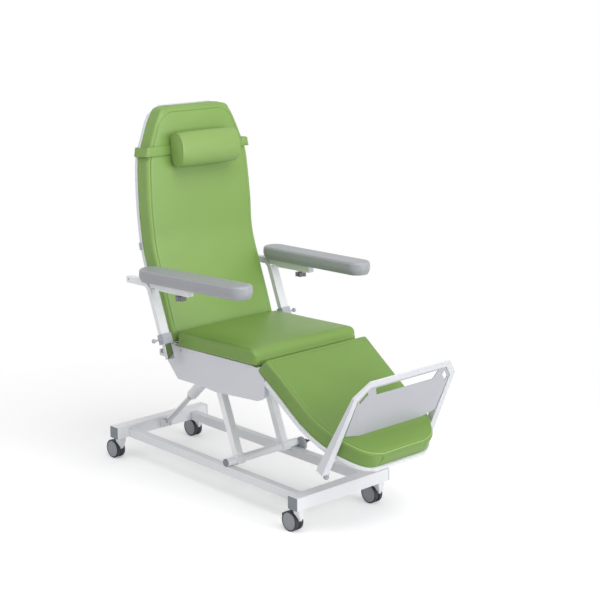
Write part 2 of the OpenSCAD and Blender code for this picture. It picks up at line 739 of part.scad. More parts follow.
// A place given in the chair's frame, seen in the seat's own frame
function to_seat(p) = let (d = p - seat_o) [d * rise_y, d * rise_z];
module spring_ears(at, up) {
    both = spring_eye_w / 2 + side_play;
    for (s = [-1, 1]) difference() {
        slab(s > 0 ? both : -both - lever_t, s > 0 ? both + lever_t : -both) {
            translate(at) circle(r = spring_eye_r + 2);
            polygon([at + [-spring_eye_r - 2, 0], at + [spring_eye_r + 2, 0],
                [at[0] + spring_eye_r + 2, up], [at[0] - spring_eye_r - 2, up]]);
        }
        cross_rod(spring_pin_d + 2 * running_fit, -both - lever_t - over, both + lever_t + over, at);
    }
}
module seat_frame() {
    z = -frame_drop;
    rail_end = -seat_len + rail_front;
    color(white) in_seat() {
        both_sides() {
            difference() {
                block(rail_inner, rail_outer, rail_end, tongue_from, z - frame_tube / 2, z + frame_tube / 2);
                block(rail_inner + frame_wall, rail_outer - frame_wall, rail_end - over,
                    tongue_from - frame_wall, z - frame_tube / 2 + frame_wall, z + frame_tube / 2 - frame_wall);
            }
            difference() {
                slab(rail_inner, rail_outer) {
                    translate(seat_back_hinge) circle(r = tongue_r);
                    polygon([[tongue_from, z - tongue_r], [back_hinge_reach, z - tongue_r],
                        [back_hinge_reach, z + tongue_r], [tongue_from, z + tongue_r]]);
                }
                cross_rod(pin_d + 2 * running_fit, rail_inner - over, rail_outer + over, seat_back_hinge);
            }
            for (s = [-1, 1]) difference() {
                slab(leg_rail_x + s * (leg_ear_gap + ear_t / 2) - ear_t / 2,
                    leg_rail_x + s * (leg_ear_gap + ear_t / 2) + ear_t / 2) {
                    translate(seat_leg_hinge) circle(r = tongue_r);
                    polygon([seat_leg_hinge + [0, -tongue_r], [-front_member - frame_tube / 2, z - tongue_r],
                        [-front_member - frame_tube / 2, z + tongue_r], seat_leg_hinge + [0, tongue_r]]);
                }
                cross_rod(pin_d + 2 * running_fit, 0, 2 * leg_rail_x, seat_leg_hinge);
            }
            difference() {
                slab(clevis_gap, clevis_gap + ear_t) {
                    at = to_seat(tilt_top);
                    translate(at) circle(r = tilt_eye_r);
                    polygon([at + [-tilt_eye_r, 0], at + [tilt_eye_r, 0],
                        [-member_set + frame_tube / 2, z - frame_tube / 2],
                        [-member_set - frame_tube / 2, z - frame_tube / 2]]);
                }
                cross_rod(pin_d + 2 * running_fit, 0, 2 * rail_inner, to_seat(tilt_top));
            }
        }
        for (y = [-member_set, -mid_member, -front_member])
            square_tube(-rail_inner, rail_inner, y, z, frame_tube, frame_wall);
        translate([spring_x, 0, 0]) spring_ears(to_seat(back_spring_a), z - frame_tube / 2);
        translate([-spring_x, 0, 0]) spring_ears(to_seat(leg_spring_a), z - frame_tube / 2);
    }
}
module lift_arms() {
    x = lift_arm_spread / 2;
    color(white) both_sides() difference() {
        union() {
            cross_rod(sleeve_d, x - sleeve_w / 2, x + sleeve_w / 2, pivot);
            along(pivot, pivot + member_rel) difference() {
                block(x - lift_arm / 2, x + lift_arm / 2, -lift_arm / 2, lift_arm / 2, 0, lift_arm_len);
                block(x - lift_arm / 2 + lift_arm_wall, x + lift_arm / 2 - lift_arm_wall,
                    -lift_arm / 2 + lift_arm_wall, lift_arm / 2 - lift_arm_wall,
                    sleeve_d / 2, lift_arm_len + over);
            }
        }
        cross_rod(pivot_tube_d + 2 * running_fit, x - sleeve_w, x + sleeve_w, pivot);
        in_seat() block(0, 2 * x, -member_set - 2 * frame_tube, -member_set + 2 * frame_tube,
            -frame_drop - frame_tube / 2, frame_drop);
    }
}

// An outline moved inwards by t, point by point
function inset(pts, t) = [for (i = [0:len(pts) - 1])
    let (n = len(pts), a = pts[(i + n - 1) % n], b = pts[i], c = pts[(i + 1) % n],
         u = (b - a) / norm(b - a), v = (c - b) / norm(c - b),
         m = [u[1], -u[0]] + [v[1], -v[0]])
    b + t * m / (1 + u * v)];
cover_pts = [for (p = cover_shares) [p[0] * cover_len, p[1] * cover_h]];
module side_cover(side) {
    flange_to = rail_outer + seat_gap;
    color(white) on_side(side) difference() {
        translate([0, seat_o[0], seat_o[1]]) difference() {
            slab(flange_to, cover_x) polygon(cover_pts);
            slab(flange_to - over, cover_x - cover_t) polygon(inset(cover_pts, cover_t));
        }
        translate([0, seat_o[0] + screw_share[0] * cover_len, seat_o[1] + screw_share[1] * cover_h])
            cross_rod(screw_d + 2 * running_fit, cover_x - 2 * cover_t, cover_x + over);
    }
}
module side_cover_right() side_cover(-1);
module side_cover_left() side_cover(1);
stub_w = arm_post_w - 2 * arm_post_wall - 2 * slide_gap;
stub_d = arm_post_d - 2 * arm_post_wall - 2 * slide_gap;
stub_wall = 2;
// The bracket runs back from each upright and turns in behind the side cover, to the seat rail
module arm_uprights() {
    x0 = arm_x - stub_w / 2;
    z0 = arm_root[1] - bracket_low;
    color(steel) both_sides() {
        in_post(1) difference() {
            block(-stub_w / 2, stub_w / 2, -stub_d / 2, stub_d / 2, -stub_below, stub_above);
            block(-stub_w / 2 + stub_wall, stub_w / 2 - stub_wall, -stub_d / 2 + stub_wall,
                stub_d / 2 - stub_wall, -stub_below + bracket_tall, stub_above + over);
        }
        block(x0, x0 + bracket_t, arm_root[0] - stub_below * arm_dir[0], seat_o[0] + bracket_rear[1],
            z0, z0 + bracket_tall);
        block(x0, x0 + bracket_t, seat_o[0] + bracket_rear[0], seat_o[0] + bracket_rear[1],
            z0, seat_o[1] - bracket_rear_top);
        block(rail_outer, x0 + over, seat_o[0] + bracket_rear[0], seat_o[0] + bracket_rear[1],
            z0 + bracket_tall - over, seat_o[1] - bracket_rear_top);
    }
}
screw_d = 6;
screw_head_d = 12;
screw_head_t = 2.5;
module pins_and_screws() {
    color(steel) {
        both_sides() {
            in_seat() cross_rod(pin_d, rail_inner - pin_d, rail_outer + cap_t / 2 - seat_gap, seat_back_hinge);
            in_seat() cross_rod(pin_d, leg_rail_x - leg_ear_gap - ear_t - cap_t,
                leg_rail_x + leg_ear_gap + ear_t + cap_t, seat_leg_hinge);
            translate([0, seat_o[0] + screw_share[0] * cover_len, seat_o[1] + screw_share[1] * cover_h]) {
                cross_rod(screw_head_d, cover_x, cover_x + screw_head_t);
                cross_rod(screw_d, cover_x - 2 * cover_t, cover_x);
            }
        }
        cross_rod(pin_d, -clevis_gap - ear_t - cap_t, clevis_gap + ear_t + cap_t, tilt_top);
        for (q = [[spring_x, back_spring_a], [-spring_x, leg_spring_a]])
            translate([q[0], 0, 0]) cross_rod(spring_pin_d, -spring_eye_w / 2 - side_play - lever_t - over,
                spring_eye_w / 2 + side_play + lever_t + over, q[1]);
    }
}

// Tilt actuator, drawn down the line from its upper pin
module tilt_cylinder() {
    from = tilt_eye_r + 8;
    color(steel) along(tilt_top, tilt_low) difference() {
        union() {
            cross_rod(2 * tilt_eye_r, -tilt_eye_w / 2, tilt_eye_w / 2);
            block(-tilt_eye_w / 2, tilt_eye_w / 2, -tilt_eye_r, tilt_eye_r, 0, from);
            translate([0, 0, from]) cylinder(d = tilt_cylinder_d, h = tilt_cylinder_len);
        }
        cross_rod(pin_d + 2 * running_fit, -tilt_eye_w, tilt_eye_w);
        translate([0, 0, from + tilt_head])
            cylinder(d = tilt_cylinder_d - 2 * cross_tube_wall, h = tilt_cylinder_len - tilt_head - gland_len);
        translate([0, 0, from + tilt_cylinder_len - gland_len - over])
            cylinder(d = tilt_rod_d + 2 * running_fit, h = gland_len + 2 * over);
    }
}
module tilt_rod() {
    top = tilt_run - (tilt_eye_r + 8 + tilt_cylinder_len) + rod_inside;
    color(steel) along(tilt_low, tilt_top) difference() {
        union() {
            cross_rod(2 * tilt_eye_r, -tilt_eye_w / 2, tilt_eye_w / 2);
            cylinder(d = tilt_rod_d, h = top);
        }
        cross_rod(pin_d + 2 * open_pivot_play, -tilt_eye_w, tilt_eye_w);
    }
}

// Gas springs, with the cylinder's eye at a and the rod's eye at b
module spring_cylinder(x, a, b) {
    len = norm(b - a) - spring_rod_show - spring_eye_r;
    from = spring_eye_r + 3;
    color(dark) translate([x, 0, 0]) along(a, b) difference() {
        union() {
            cross_rod(2 * spring_eye_r, -spring_eye_w / 2, spring_eye_w / 2);
            block(-spring_eye_w / 2, spring_eye_w / 2, -spring_eye_r, spring_eye_r, 0, from);
            translate([0, 0, from]) cylinder(d = spring_d, h = len - from);
        }
        cross_rod(spring_pin_d + 2 * running_fit, -spring_eye_w, spring_eye_w);
        translate([0, 0, from + spring_eye_r])
            cylinder(d = spring_rod_d + 2 * running_fit, h = len);
    }
}
module spring_rod(x, a, b, hole_d) {
    color(steel) translate([x, 0, 0]) along(b, a) difference() {
        union() {
            cross_rod(hole_d + spring_eye_r, -spring_eye_w / 2, spring_eye_w / 2);
            cylinder(d = spring_rod_d, h = spring_rod_show + spring_eye_r + spring_rod_inside);
        }
        cross_rod(hole_d, -spring_eye_w, spring_eye_w);
    }
}
module back_spring_cylinder() spring_cylinder(spring_x, back_spring_a, back_spring_b);
module back_spring_rod() spring_rod(spring_x, back_spring_a, back_spring_b, spring_pin_d + 2 * lever_play);
module leg_spring_cylinder() spring_cylinder(-spring_x, leg_spring_a, leg_spring_b);
module leg_spring_rod() spring_rod(-spring_x, leg_spring_a, leg_spring_b, spring_pin_d + 2 * open_pivot_play);

// Backrest
back_st = stations(back_plan_shares, back_len, back_w / 2, back_t, back_crown, 10, 10, 10, 24, 50, 14);
module back_cushion() {
    color(vinyl) sweep(back_start, back_s1, back_s2, 90 - back_lean, 90 - back_upper_lean,
        pulled(back_st, cushion_pull));
}
board_st = concat([[0, back_w / 2 * back_plan_shares[0][1] + back_lip, 0, 0]],
    [for (p = back_plan_shares) [p[0] * back_len, p[1] * back_w / 2 + back_lip, 0, 0]],
    [[back_len + back_lip, back_w / 2 * 0.47, 0, 0]]);
module back_board() {
    color(white) sweep(back_start, back_s1, back_s2, 90 - back_lean, 90 - back_upper_lean,
        board_st, back_board_t);
}
upright_from = 24;
upright_to = back_s1 - back_upright;
plate_t = 8;
// Two link plates reach forward from a lever's root and hold a pin at the far end
module lever_pair(x, from, to, hole_d) {
    half = spring_eye_w / 2 + side_play;
    for (s = [-1, 1]) difference() {
        slab(x + (s > 0 ? half : -half - lever_t), x + (s > 0 ? half + lever_t : -half))
            link_2d(from, to, 2 * spring_eye_r);
        cross_rod(hole_d, x - 3 * spring_eye_w, x + 3 * spring_eye_w, to);
    }
    cross_rod(hole_d, x - half - lever_t, x + half + lever_t, to);
}
module back_frame() {
    y0 = back_board_t + seat_gap;
    color(white) {
        in_back() {
            both_sides() {
                difference() {
                    block(back_upright_x - back_upright / 2, back_upright_x + back_upright / 2,
                        y0, y0 + back_upright, upright_from, upright_to);
                    block(back_upright_x - back_upright / 2 + frame_wall,
                        back_upright_x + back_upright / 2 - frame_wall,
                        y0 + frame_wall, y0 + back_upright - frame_wall, upright_from - over, upright_to + over);
                }
                slab(back_upright_x - plate_t / 2, back_upright_x + plate_t / 2)
                    polygon([[hinge_tube_d / 2 - over, -hinge_tube_d / 2 + over], [y0 + back_upright, upright_from / 2],
                        [y0 + back_upright, upright_from], [y0, upright_from],
                        [y0, back_rise - over], [hinge_tube_d / 2 - over, 0]]);
                difference() {
                    cross_rod(hinge_tube_d, 0, rail_inner - side_play);
                    cross_rod(pin_d + 2 * running_fit, rail_inner - 2 * pin_d, rail_inner + over);
                }
            }
            for (z = [upright_from + 2 * back_upright, upright_to - back_upright])
                block(-back_upright_x + back_upright / 2, back_upright_x - back_upright / 2,
                    y0, y0 + back_upright / 2, z - back_upright / 2, z + back_upright / 2);
        }
        difference() {
            lever_pair(spring_x, back_hinge, back_spring_b, spring_pin_d);
            cross_rod(hinge_tube_d - over, spring_x - 3 * spring_eye_w, spring_x + 3 * spring_eye_w, back_hinge);
        }
    }
}
module board_clips() {
    clip_l = 30;
    clip_w = 12;
    clip_t = 2.5;
    s = back_lower_len;
    h = bend_heading(s, back_s1, back_s2, 90 - back_lean, 90 - back_upper_lean);
    c = back_start + bend_at(s, back_s1, back_s2, 90 - back_lean, 90 - back_upper_lean);
    x1 = bend_w_share * back_w / 2 + back_lip + seat_gap;
    color(cool_grey) both_sides() translate([0, c[0], c[1]]) rotate([h - 90, 0, 0]) {
        block(x1, x1 + clip_t, seat_gap, back_board_t + clip_t, -clip_l / 2, clip_l / 2);
        block(x1 - clip_w, x1, back_board_t + seat_gap + 2 * slide_gap, back_board_t + clip_t + slide_gap,
            -clip_l / 2, clip_l / 2);
    }
}
// Neck pillow: a soft roll, flatter behind, whose ends round in
pillow_c = back_start + bend_at(pillow_s, back_s1, back_s2, 90 - back_lean, 90 - back_upper_lean);
pillow_stations = 9;
pillow_points = 24;
pillow_flat_power = 0.4;
pillow_round_power = 0.2;
pillow_tiny = 0.0001;
pillow_end_share = 0.8;
pillow_behind = back_t + back_crown + pillow_clear;
function pillow_scale(u) = pillow_end_share + (1 - pillow_end_share) * sqrt(1 - pow(abs(u), 5));
module neck_pillow() {
    color(vinyl) translate([0, pillow_c[0], pillow_c[1]]) rotate([-back_upper_lean, 0, 0]) skin(
        [for (i = [0:pillow_stations - 1])
            let (u = -cos(180 * i / (pillow_stations - 1)), k = pillow_scale(u))
            [for (j = [0:pillow_points - 1]) let (a = 360 * j / pillow_points, c = cos(a), s = sin(a))
                [u * pillow_len / 2, -pillow_behind - pillow_t / 2
                    - k * pillow_t / 2 * c * (c > 0 ? 1 : pow(abs(c) + pillow_tiny, -pillow_flat_power)),
                 k * pillow_h / 2 * s * pow(abs(s) + pillow_tiny, -pillow_round_power)]]]);
}
strap_half_share = 0.986;
module pillow_strap() {
    gap = 1.5;
    half = back_w / 2 * strap_half_share;
    y_front = -back_t - back_crown - gap;
    y_rear = back_board_t + seat_gap;
    round_r = 8;
    color(vinyl) translate([0, pillow_c[0], pillow_c[1]]) rotate([-back_upper_lean, 0, 0])
        translate([0, 0, -strap_w / 2]) difference() {
            rounded_plate(half + strap_t, y_front - strap_t, y_rear + strap_t, strap_w, round_r);
            translate([0, 0, -over]) rounded_plate(half, y_front, y_rear, strap_w + 2 * over, round_r - strap_t);
        }
}
module rounded_plate(half_x, y0, y1, h, r) {
    translate([-half_x + r, y0, 0]) cube([2 * half_x - 2 * r, y1 - y0, h]);
    translate([-half_x, y0 + r, 0]) cube([2 * half_x, y1 - y0 - 2 * r, h]);
    for (x = [-half_x + r, half_x - r], y = [y0 + r, y1 - r]) translate([x, y, 0]) cylinder(r = r, h = h);
}

// Leg section
leg_st = stations(leg_plan_shares, leg_len, leg_w / 2, leg_t, leg_crown, 8, 24, 8, 16, 5, 16);
module leg_cushion() {
    color(vinyl) sweep(leg_start, leg_s1, leg_s2, leg_slope_lower, leg_slope_upper,
        pulled(leg_st, cushion_pull));
}
tray_end = 54;
tray_st = concat([[-tray_lip, leg_w / 2 * leg_plan_shares[0][1], 0, 0]],
    [for (p = leg_plan_shares) if (p[0] * leg_len < leg_len - tray_end - over)
        [p[0] * leg_len, p[1] * leg_w / 2 + tray_lip, 0, 0]],
    [[leg_len - tray_end, leg_w / 2, 0, 0]]);
module leg_tray() {
    color(white) sweep(leg_start, leg_s1, leg_s2, leg_slope_lower, leg_slope_upper, tray_st, tray_t);
}
// Rails under the tray: the upper pair runs from the hinge to the bend, the lower pair holds the slide bars
leg_bend = leg_start + leg_lower_len * [cos(leg_slope_lower), sin(leg_slope_lower)];
upper_rail_from = 22;
upper_rail_to = (leg_hinge - leg_bend) * [cos(leg_slope_upper), sin(leg_slope_upper)];
leg_lever_root = [-33, -43];
rail_under = tray_t + seat_gap;
// Outline of a leg rail in the hinge's frame: down the upper slope, through the bend, down the lower slope
leg_turn = leg_slope_upper - leg_slope_lower;
rail_top = leg_lift - rail_under;
corner_top = [-upper_rail_to + rail_under * tan(leg_turn / 2), rail_top];
corner_low = [-upper_rail_to + (rail_under + leg_rail_h) * tan(leg_turn / 2), rail_top - leg_rail_h];
lower_run = [-cos(leg_turn), sin(leg_turn)];
lower_down = [-sin(leg_turn), -cos(leg_turn)];
rail_end_top = [-upper_rail_to, leg_lift] + rail_under * lower_down + leg_rail_len * lower_run;
rail_end_low = rail_end_top + leg_rail_h * lower_down;
module leg_frame() {
    color(dark) {
        in_leg_upper() {
            both_sides() difference() {
                slab(leg_rail_x - leg_rail_w / 2, leg_rail_x + leg_rail_w / 2) {
                    circle(r = tongue_r);
                    polygon([[0, -tongue_r + over], [-upper_rail_from, rail_top - leg_rail_h], corner_low,
                        rail_end_low, rail_end_top, corner_top, [-upper_rail_from, rail_top], [0, tongue_r - over]]);
                }
                cross_rod(pin_d + 2 * running_fit, leg_rail_x - leg_rail_w, leg_rail_x + leg_rail_w);
                translate([0, -upper_rail_to, leg_lift]) rotate([-leg_turn, 0, 0])
                    block(leg_rail_x - leg_rail_w / 2 + leg_rail_wall, leg_rail_x + leg_rail_w / 2 - leg_rail_wall,
                        -leg_rail_len - over, -leg_rail_w, -rail_under - leg_rail_h + leg_rail_wall,
                        -rail_under - leg_rail_wall);
            }
            block(-leg_rail_x + leg_rail_w / 2, leg_rail_x - leg_rail_w / 2,
                -upper_rail_from - 2 * leg_rail_w, -upper_rail_from - leg_rail_w, rail_top - leg_rail_h, rail_top);
        }
        lever_pair(-spring_x, leg_hinge + leg_lever_root, leg_spring_b, spring_pin_d);
    }
}

// Footboard
foot_half = foot_w / 2;
function foot_scaled(shares) = [for (p = shares) [p[0] * foot_half, p[1] * foot_h]];
function with_mirror(pts) = concat(pts, [for (i = [len(pts) - 1:-1:0]) [-pts[i][0], pts[i][1]]]);
foot_pts = foot_scaled(foot_arm_shares);
foot_inner = foot_scaled(foot_inner_shares);
foot_below = -foot_pts[0][1];
foot_inner_low = foot_pts[0][0] - foot_arm_w;
// How far the front face lies behind the foot plane at a height
function foot_set(z) =
    foot_set_low + (foot_set_top - foot_set_low) * (z + foot_below) / (foot_h + foot_below);
module foot_front_2d() {
    difference() {
        polygon(with_mirror(foot_pts));
        polygon(with_mirror(concat([[foot_inner_low, foot_pts[0][1] - over]], foot_inner)));
    }
}
module foot_depth_2d() {
    polygon([[foot_set_low, -foot_below], [foot_set_low + foot_arm_depth, -foot_below],
        [foot_set_top + foot_top_depth, foot_h], [foot_set_top, foot_h]]);
}
slide_bar_w = leg_rail_w - 2 * leg_rail_wall - 2 * slide_gap;
slide_bar_h = leg_rail_h - 2 * leg_rail_wall - 2 * slide_gap;
foot_bar_z = -rail_under - leg_rail_h / 2;
foot_bar_y0 = 1;
foot_gap_to_rail = leg_lower_len - foot_s - leg_rail_len;
module footboard_frame() {
    color(white) in_foot() {
        intersection() {
            translate([0, 2 * foot_arm_depth, 0]) rotate([90, 0, 0])
                linear_extrude(4 * foot_arm_depth) foot_front_2d();
            slab(-foot_w, foot_w) foot_depth_2d();
        }
        block(-foot_inner_low - over, foot_inner_low + over, foot_bar_y0, foot_gap_to_rail - side_play,
            foot_bar_z - foot_bar_h / 2, foot_bar_z + foot_bar_h / 2);
        both_sides() block(leg_rail_x - slide_bar_w / 2, leg_rail_x + slide_bar_w / 2,
            foot_gap_to_rail - side_play - over, foot_gap_to_rail + slide_bar_in,
            foot_bar_z - slide_bar_h / 2, foot_bar_z + slide_bar_h / 2);
    }
}
// The panel's middle leans forward of the arms, and a folded wing each side brings it back to them
function panel_at(z) = panel_set_low + z * tan(panel_lean);
module footboard_panel() {
    edge = [for (p = foot_inner) [p[0] - seat_gap, p[1] - seat_gap]];
    side = foot_scaled(panel_side_shares);
    wing = foot_scaled(wing_shares);
    ring = [[side[0][0] - panel_lap, panel_at(side[0][1]), side[0][1]],
        [wing[0][0] - seat_gap, foot_set(wing[0][1]) + over, wing[0][1]],
        [wing[1][0] - seat_gap, foot_set(wing[1][1]) + over, wing[1][1]],
        [side[1][0] - panel_lap, panel_at(side[1][1]), side[1][1]]];
    color(white) in_foot() {
        translate([0, panel_set_low, 0]) rotate([-panel_lean, 0, 0]) translate([0, foot_panel_t, 0])
            rotate([90, 0, 0]) linear_extrude(foot_panel_t) scale([1, 1 / cos(panel_lean)]) difference() {
                polygon(with_mirror([edge[1], edge[0], side[0], side[1]]));
                polygon(with_mirror(foot_scaled(hand_slot_shares)));
                for (k = [-1, 1]) polygon([for (p = foot_scaled(shoulder_slot_shares)) [k * p[0], p[1]]]);
            }
        both_sides() polyhedron(concat(ring, [for (p = ring) p + [0, foot_panel_t, 0]]),
            [[0, 1, 2], [0, 2, 3], [4, 6, 5], [4, 7, 6], [0, 4, 5], [0, 5, 1], [1, 5, 6], [1, 6, 2],
             [2, 6, 7], [2, 7, 3], [3, 7, 4], [3, 4, 0]], convexity = 2);
    }
}
clamp_x = 245;
clamp_y = -8;
module clamp_knob(side) {
    color(dark) on_side(side) in_foot() translate([clamp_x, clamp_y, -foot_below]) {
        translate([0, 0, -knob_stem]) cylinder(d = knob_stem_d, h = knob_stem - seat_gap);
        translate([0, 0, -knob_stem - knob_h]) cylinder(d = knob_d, h = knob_h);
    }
}

// Armrests
module arm_post(side) {
    top = arm_post_len - post_walls_below_bolt;
    inner_w = arm_post_w - 2 * arm_post_wall;
    color(white) in_post(side) difference() {
        union() {
            block(-arm_post_w / 2, arm_post_w / 2, -arm_post_d / 2, arm_post_d / 2, post_from, top);
            slab(-arm_post_w / 2, arm_post_w / 2) {
                polygon([[-arm_post_d / 2, top - over], [arm_post_d / 2, top - over],
                    [bolt_back + ear_r, arm_post_len], [bolt_back - ear_r, arm_post_len]]);
                translate([bolt_back, arm_post_len]) circle(r = ear_r);
            }
        }
        block(-inner_w / 2, inner_w / 2, -arm_post_d / 2 + arm_post_wall, arm_post_d / 2 - arm_post_wall,
            post_from - over, top + over);
        block(-inner_w / 2, inner_w / 2, -2 * arm_post_d, 2 * arm_post_d, top, arm_post_len + 2 * ear_r);
        cross_rod(bolt_d + 2 * running_fit, -arm_post_w, arm_post_w, [bolt_back, arm_post_len]);
        cross_rod(plunger_d + 2 * running_fit, 0, arm_post_w, [0, collar_from + collar_len / 2]);
    }
    color(steel) in_post(side) cross_rod(bolt_d, -arm_post_w / 2 - over, arm_post_w / 2 + over,
        [bolt_back, arm_post_len]);
}
module arm_collar(side) {
    g = seat_gap / 3;
    boss = 8;
    color(cool_grey) in_post(side) difference() {
        union() {
            block(-arm_post_w / 2 - collar_t, arm_post_w / 2 + collar_t,
                -arm_post_d / 2 - 2 * collar_t, arm_post_d / 2 + 2 * collar_t,
                collar_from, collar_from + collar_len);
            cross_rod(2 * plunger_d, arm_post_w / 2, arm_post_w / 2 + collar_t + boss,
                [0, collar_from + collar_len / 2]);
        }
        block(-arm_post_w / 2 - g, arm_post_w / 2 + g, -arm_post_d / 2 - g, arm_post_d / 2 + g,
            post_from - g, collar_from + collar_len + over);
        block(-stub_w / 2 - slide_gap, stub_w / 2 + slide_gap, -stub_d / 2 - slide_gap, stub_d / 2 + slide_gap,
            collar_from - over, post_from);
        cross_rod(plunger_d + 2 * running_fit, 0, 2 * arm_post_w, [0, collar_from + collar_len / 2]);
    }
}
module ball_knob(side) {
    at = [0, collar_from + collar_len / 2];
    x_ball = arm_post_w / 2 + ball_reach;
    color(cool_grey) in_post(side) {
        cross_rod(plunger_d, arm_post_w / 2 - arm_post_wall + seat_gap, x_ball, at);
        translate([x_ball, at[0], at[1]]) sphere(d = ball_d);
    }
}
module arm_bar(side) {
    top = bar_top;
    color(white) in_bar(side) difference() {
        slab(-bar_w / 2, bar_w / 2) polygon([[bar_rear, top], [bar_rear, top - bar_h],
            [-bar_deep_from, top - bar_h], [-bar_deep_from - 2 * bar_deep, top - bar_h - bar_deep],
            [-bar_front, top - bar_h - bar_deep], [-bar_front, top]]);
        block(-bar_w / 2 + bar_wall, bar_w / 2 - bar_wall, -bar_front + bar_wall, -bar_deep_from,
            top - bar_h - bar_deep - over, top - bar_wall);
        cross_rod(bolt_d + 2 * running_fit, -bar_w, bar_w);
        cross_rod(bolt_d, -bar_w, bar_w, [bar_rear - bar_top, 0]);
        block(-star_stem_d / 2 - side_play, star_stem_d / 2 + side_play,
            -star_at - pad_travel_out - star_stem_d / 2 - side_play,
            -star_at + pad_travel_in + star_stem_d / 2 + side_play, 0, top + over);
    }
}
pad_low = bar_top + seat_gap;
module arm_pad(side) {
    r = pad_w / 2;
    rear_y = pad_rear - r;
    front_y = pad_rear - pad_len + r;
    turn_at = (rear_y + front_y) / 2;
    color(cool_grey) in_bar(side) difference() {
        translate([0, turn_at, pad_low]) rotate([0, 0, -pad_turn]) translate([0, -turn_at, 0]) hull() {
            for (y = [rear_y, front_y]) translate([0, y, 0]) rotate_extrude($fn = 32)
                polygon([[0, 0], [r - pad_inset, 0], [r - pad_inset / 3, pad_t * 0.22], [r, pad_t * 0.5],
                    [r - pad_edge_r * 0.13, pad_t - pad_edge_r * 0.6], [r - pad_edge_r * 0.5, pad_t - pad_edge_r * 0.15],
                    [r - pad_edge_r, pad_t], [0, pad_t]]);
        }
        translate([0, -star_at, pad_low - over]) cylinder(d = star_stem_d + 2 * running_fit, h = insert_depth + over);
    }
}
module star_knob(side) {
    head = bar_top - bar_h - bar_deep - star_gap;
    lobe_d = star_d / 3;
    color(steel) in_bar(side) translate([0, -star_at, 0]) {
        translate([0, 0, head - over]) cylinder(d = star_stem_d, h = pad_low + insert_depth - over - head);
        translate([0, 0, head - star_t]) {
            cylinder(d = star_d * 0.7, h = star_t);
            for (i = [0:star_lobes - 1]) rotate([0, 0, 360 * i / star_lobes])
                translate([star_d / 2 - lobe_d / 2, 0, 0]) cylinder(d = lobe_d, h = star_t);
        }
    }
}

rear_cross_tube();
front_cross_tube();
side_rails();
tube_end_caps();
pivot_tube();
tilt_clevis();
pivot_lock_housing();
pivot_lock_handle();
caster_housing(-1, front_tube_y, true);  // caster_housing_front_right
caster_hubs(-1, front_tube_y);  // caster_hubs_front_right
caster_tyres(-1, front_tube_y);  // caster_tyres_front_right
caster_housing(1, front_tube_y, true);  // caster_housing_front_left
caster_hubs(1, front_tube_y);  // caster_hubs_front_left
caster_tyres(1, front_tube_y);  // caster_tyres_front_left
caster_housing(-1, rear_tube_y, false);  // caster_housing_rear_right
caster_hubs(-1, rear_tube_y);  // caster_hubs_rear_right
caster_tyres(-1, rear_tube_y);  // caster_tyres_rear_right
caster_housing(1, rear_tube_y, false);  // caster_housing_rear_left
caster_hubs(1, rear_tube_y);  // caster_hubs_rear_left
caster_tyres(1, rear_tube_y);  // caster_tyres_rear_left
brake_pedal(-1);  // brake_pedal_right
brake_pedal(1);  // brake_pedal_left
seat_cushion();
seat_frame();
lift_arms();
side_cover_right();
side_cover_left();
arm_uprights();
pins_and_screws();
tilt_cylinder();
tilt_rod();
back_cushion();
back_board();
back_frame();
board_clips();
back_spring_cylinder();
back_spring_rod();
neck_pillow();
pillow_strap();
leg_cushion();
leg_tray();
leg_frame();
leg_spring_cylinder();
leg_spring_rod();
footboard_frame();
footboard_panel();
clamp_knob(-1);  // clamp_knob_right
clamp_knob(1);  // clamp_knob_left
arm_post(-1);  // arm_post_right
arm_collar(-1);  // arm_collar_right
ball_knob(-1);  // ball_knob_right
arm_bar(-1);  // arm_bar_right
arm_pad(-1);  // arm_pad_right
star_knob(-1);  // star_knob_right
arm_post(1);  // arm_post_left
arm_collar(1);  // arm_collar_left
ball_knob(1);  // ball_knob_left
arm_bar(1);  // arm_bar_left
arm_pad(1);  // arm_pad_left
star_knob(1);  // star_knob_left
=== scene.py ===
# %% [markdown]
# # A chair for blood samples, dressed for the camera
# The chair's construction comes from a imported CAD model: steel base, lift arms, seat, back, leg section,
# footboard and armrests. This lesson gives every piece its looks. Blender works in metres here, with z up,
# and the chair faces along -y, so nothing has to be fitted: each piece goes where the construction says.

# %% Load the construction
import bpy
import bmesh
import json
import math
from mathutils import Matrix, Vector, noise
from mathutils.bvhtree import BVHTree


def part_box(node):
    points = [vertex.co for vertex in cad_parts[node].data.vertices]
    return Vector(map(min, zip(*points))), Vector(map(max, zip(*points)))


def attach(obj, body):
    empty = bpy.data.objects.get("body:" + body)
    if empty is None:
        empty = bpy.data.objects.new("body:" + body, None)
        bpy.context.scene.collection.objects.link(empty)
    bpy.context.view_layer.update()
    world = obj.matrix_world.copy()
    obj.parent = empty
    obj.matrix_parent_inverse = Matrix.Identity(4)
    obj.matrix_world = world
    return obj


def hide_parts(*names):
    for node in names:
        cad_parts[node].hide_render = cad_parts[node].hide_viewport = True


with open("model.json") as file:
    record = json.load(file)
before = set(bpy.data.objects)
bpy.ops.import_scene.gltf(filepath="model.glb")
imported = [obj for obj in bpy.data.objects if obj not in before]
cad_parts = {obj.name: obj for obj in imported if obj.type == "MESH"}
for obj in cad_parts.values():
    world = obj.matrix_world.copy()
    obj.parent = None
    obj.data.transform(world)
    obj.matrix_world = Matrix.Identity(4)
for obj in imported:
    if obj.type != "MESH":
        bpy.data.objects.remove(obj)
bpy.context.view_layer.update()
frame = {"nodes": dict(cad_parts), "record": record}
nodes = frame["nodes"]
behaviour = frame["record"]["behaviour"]
body_of_node = {n: b for b, members in behaviour["bodies"].items() for n in members}
slot_of_node = {s["node"]: s["material_slot"] for s in frame["record"]["subparts"]}
joint_place = {j["name"]: j["pos_m"] for j in behaviour["joints"] if "pos_m" in j}
MM = 0.001
rad = math.radians


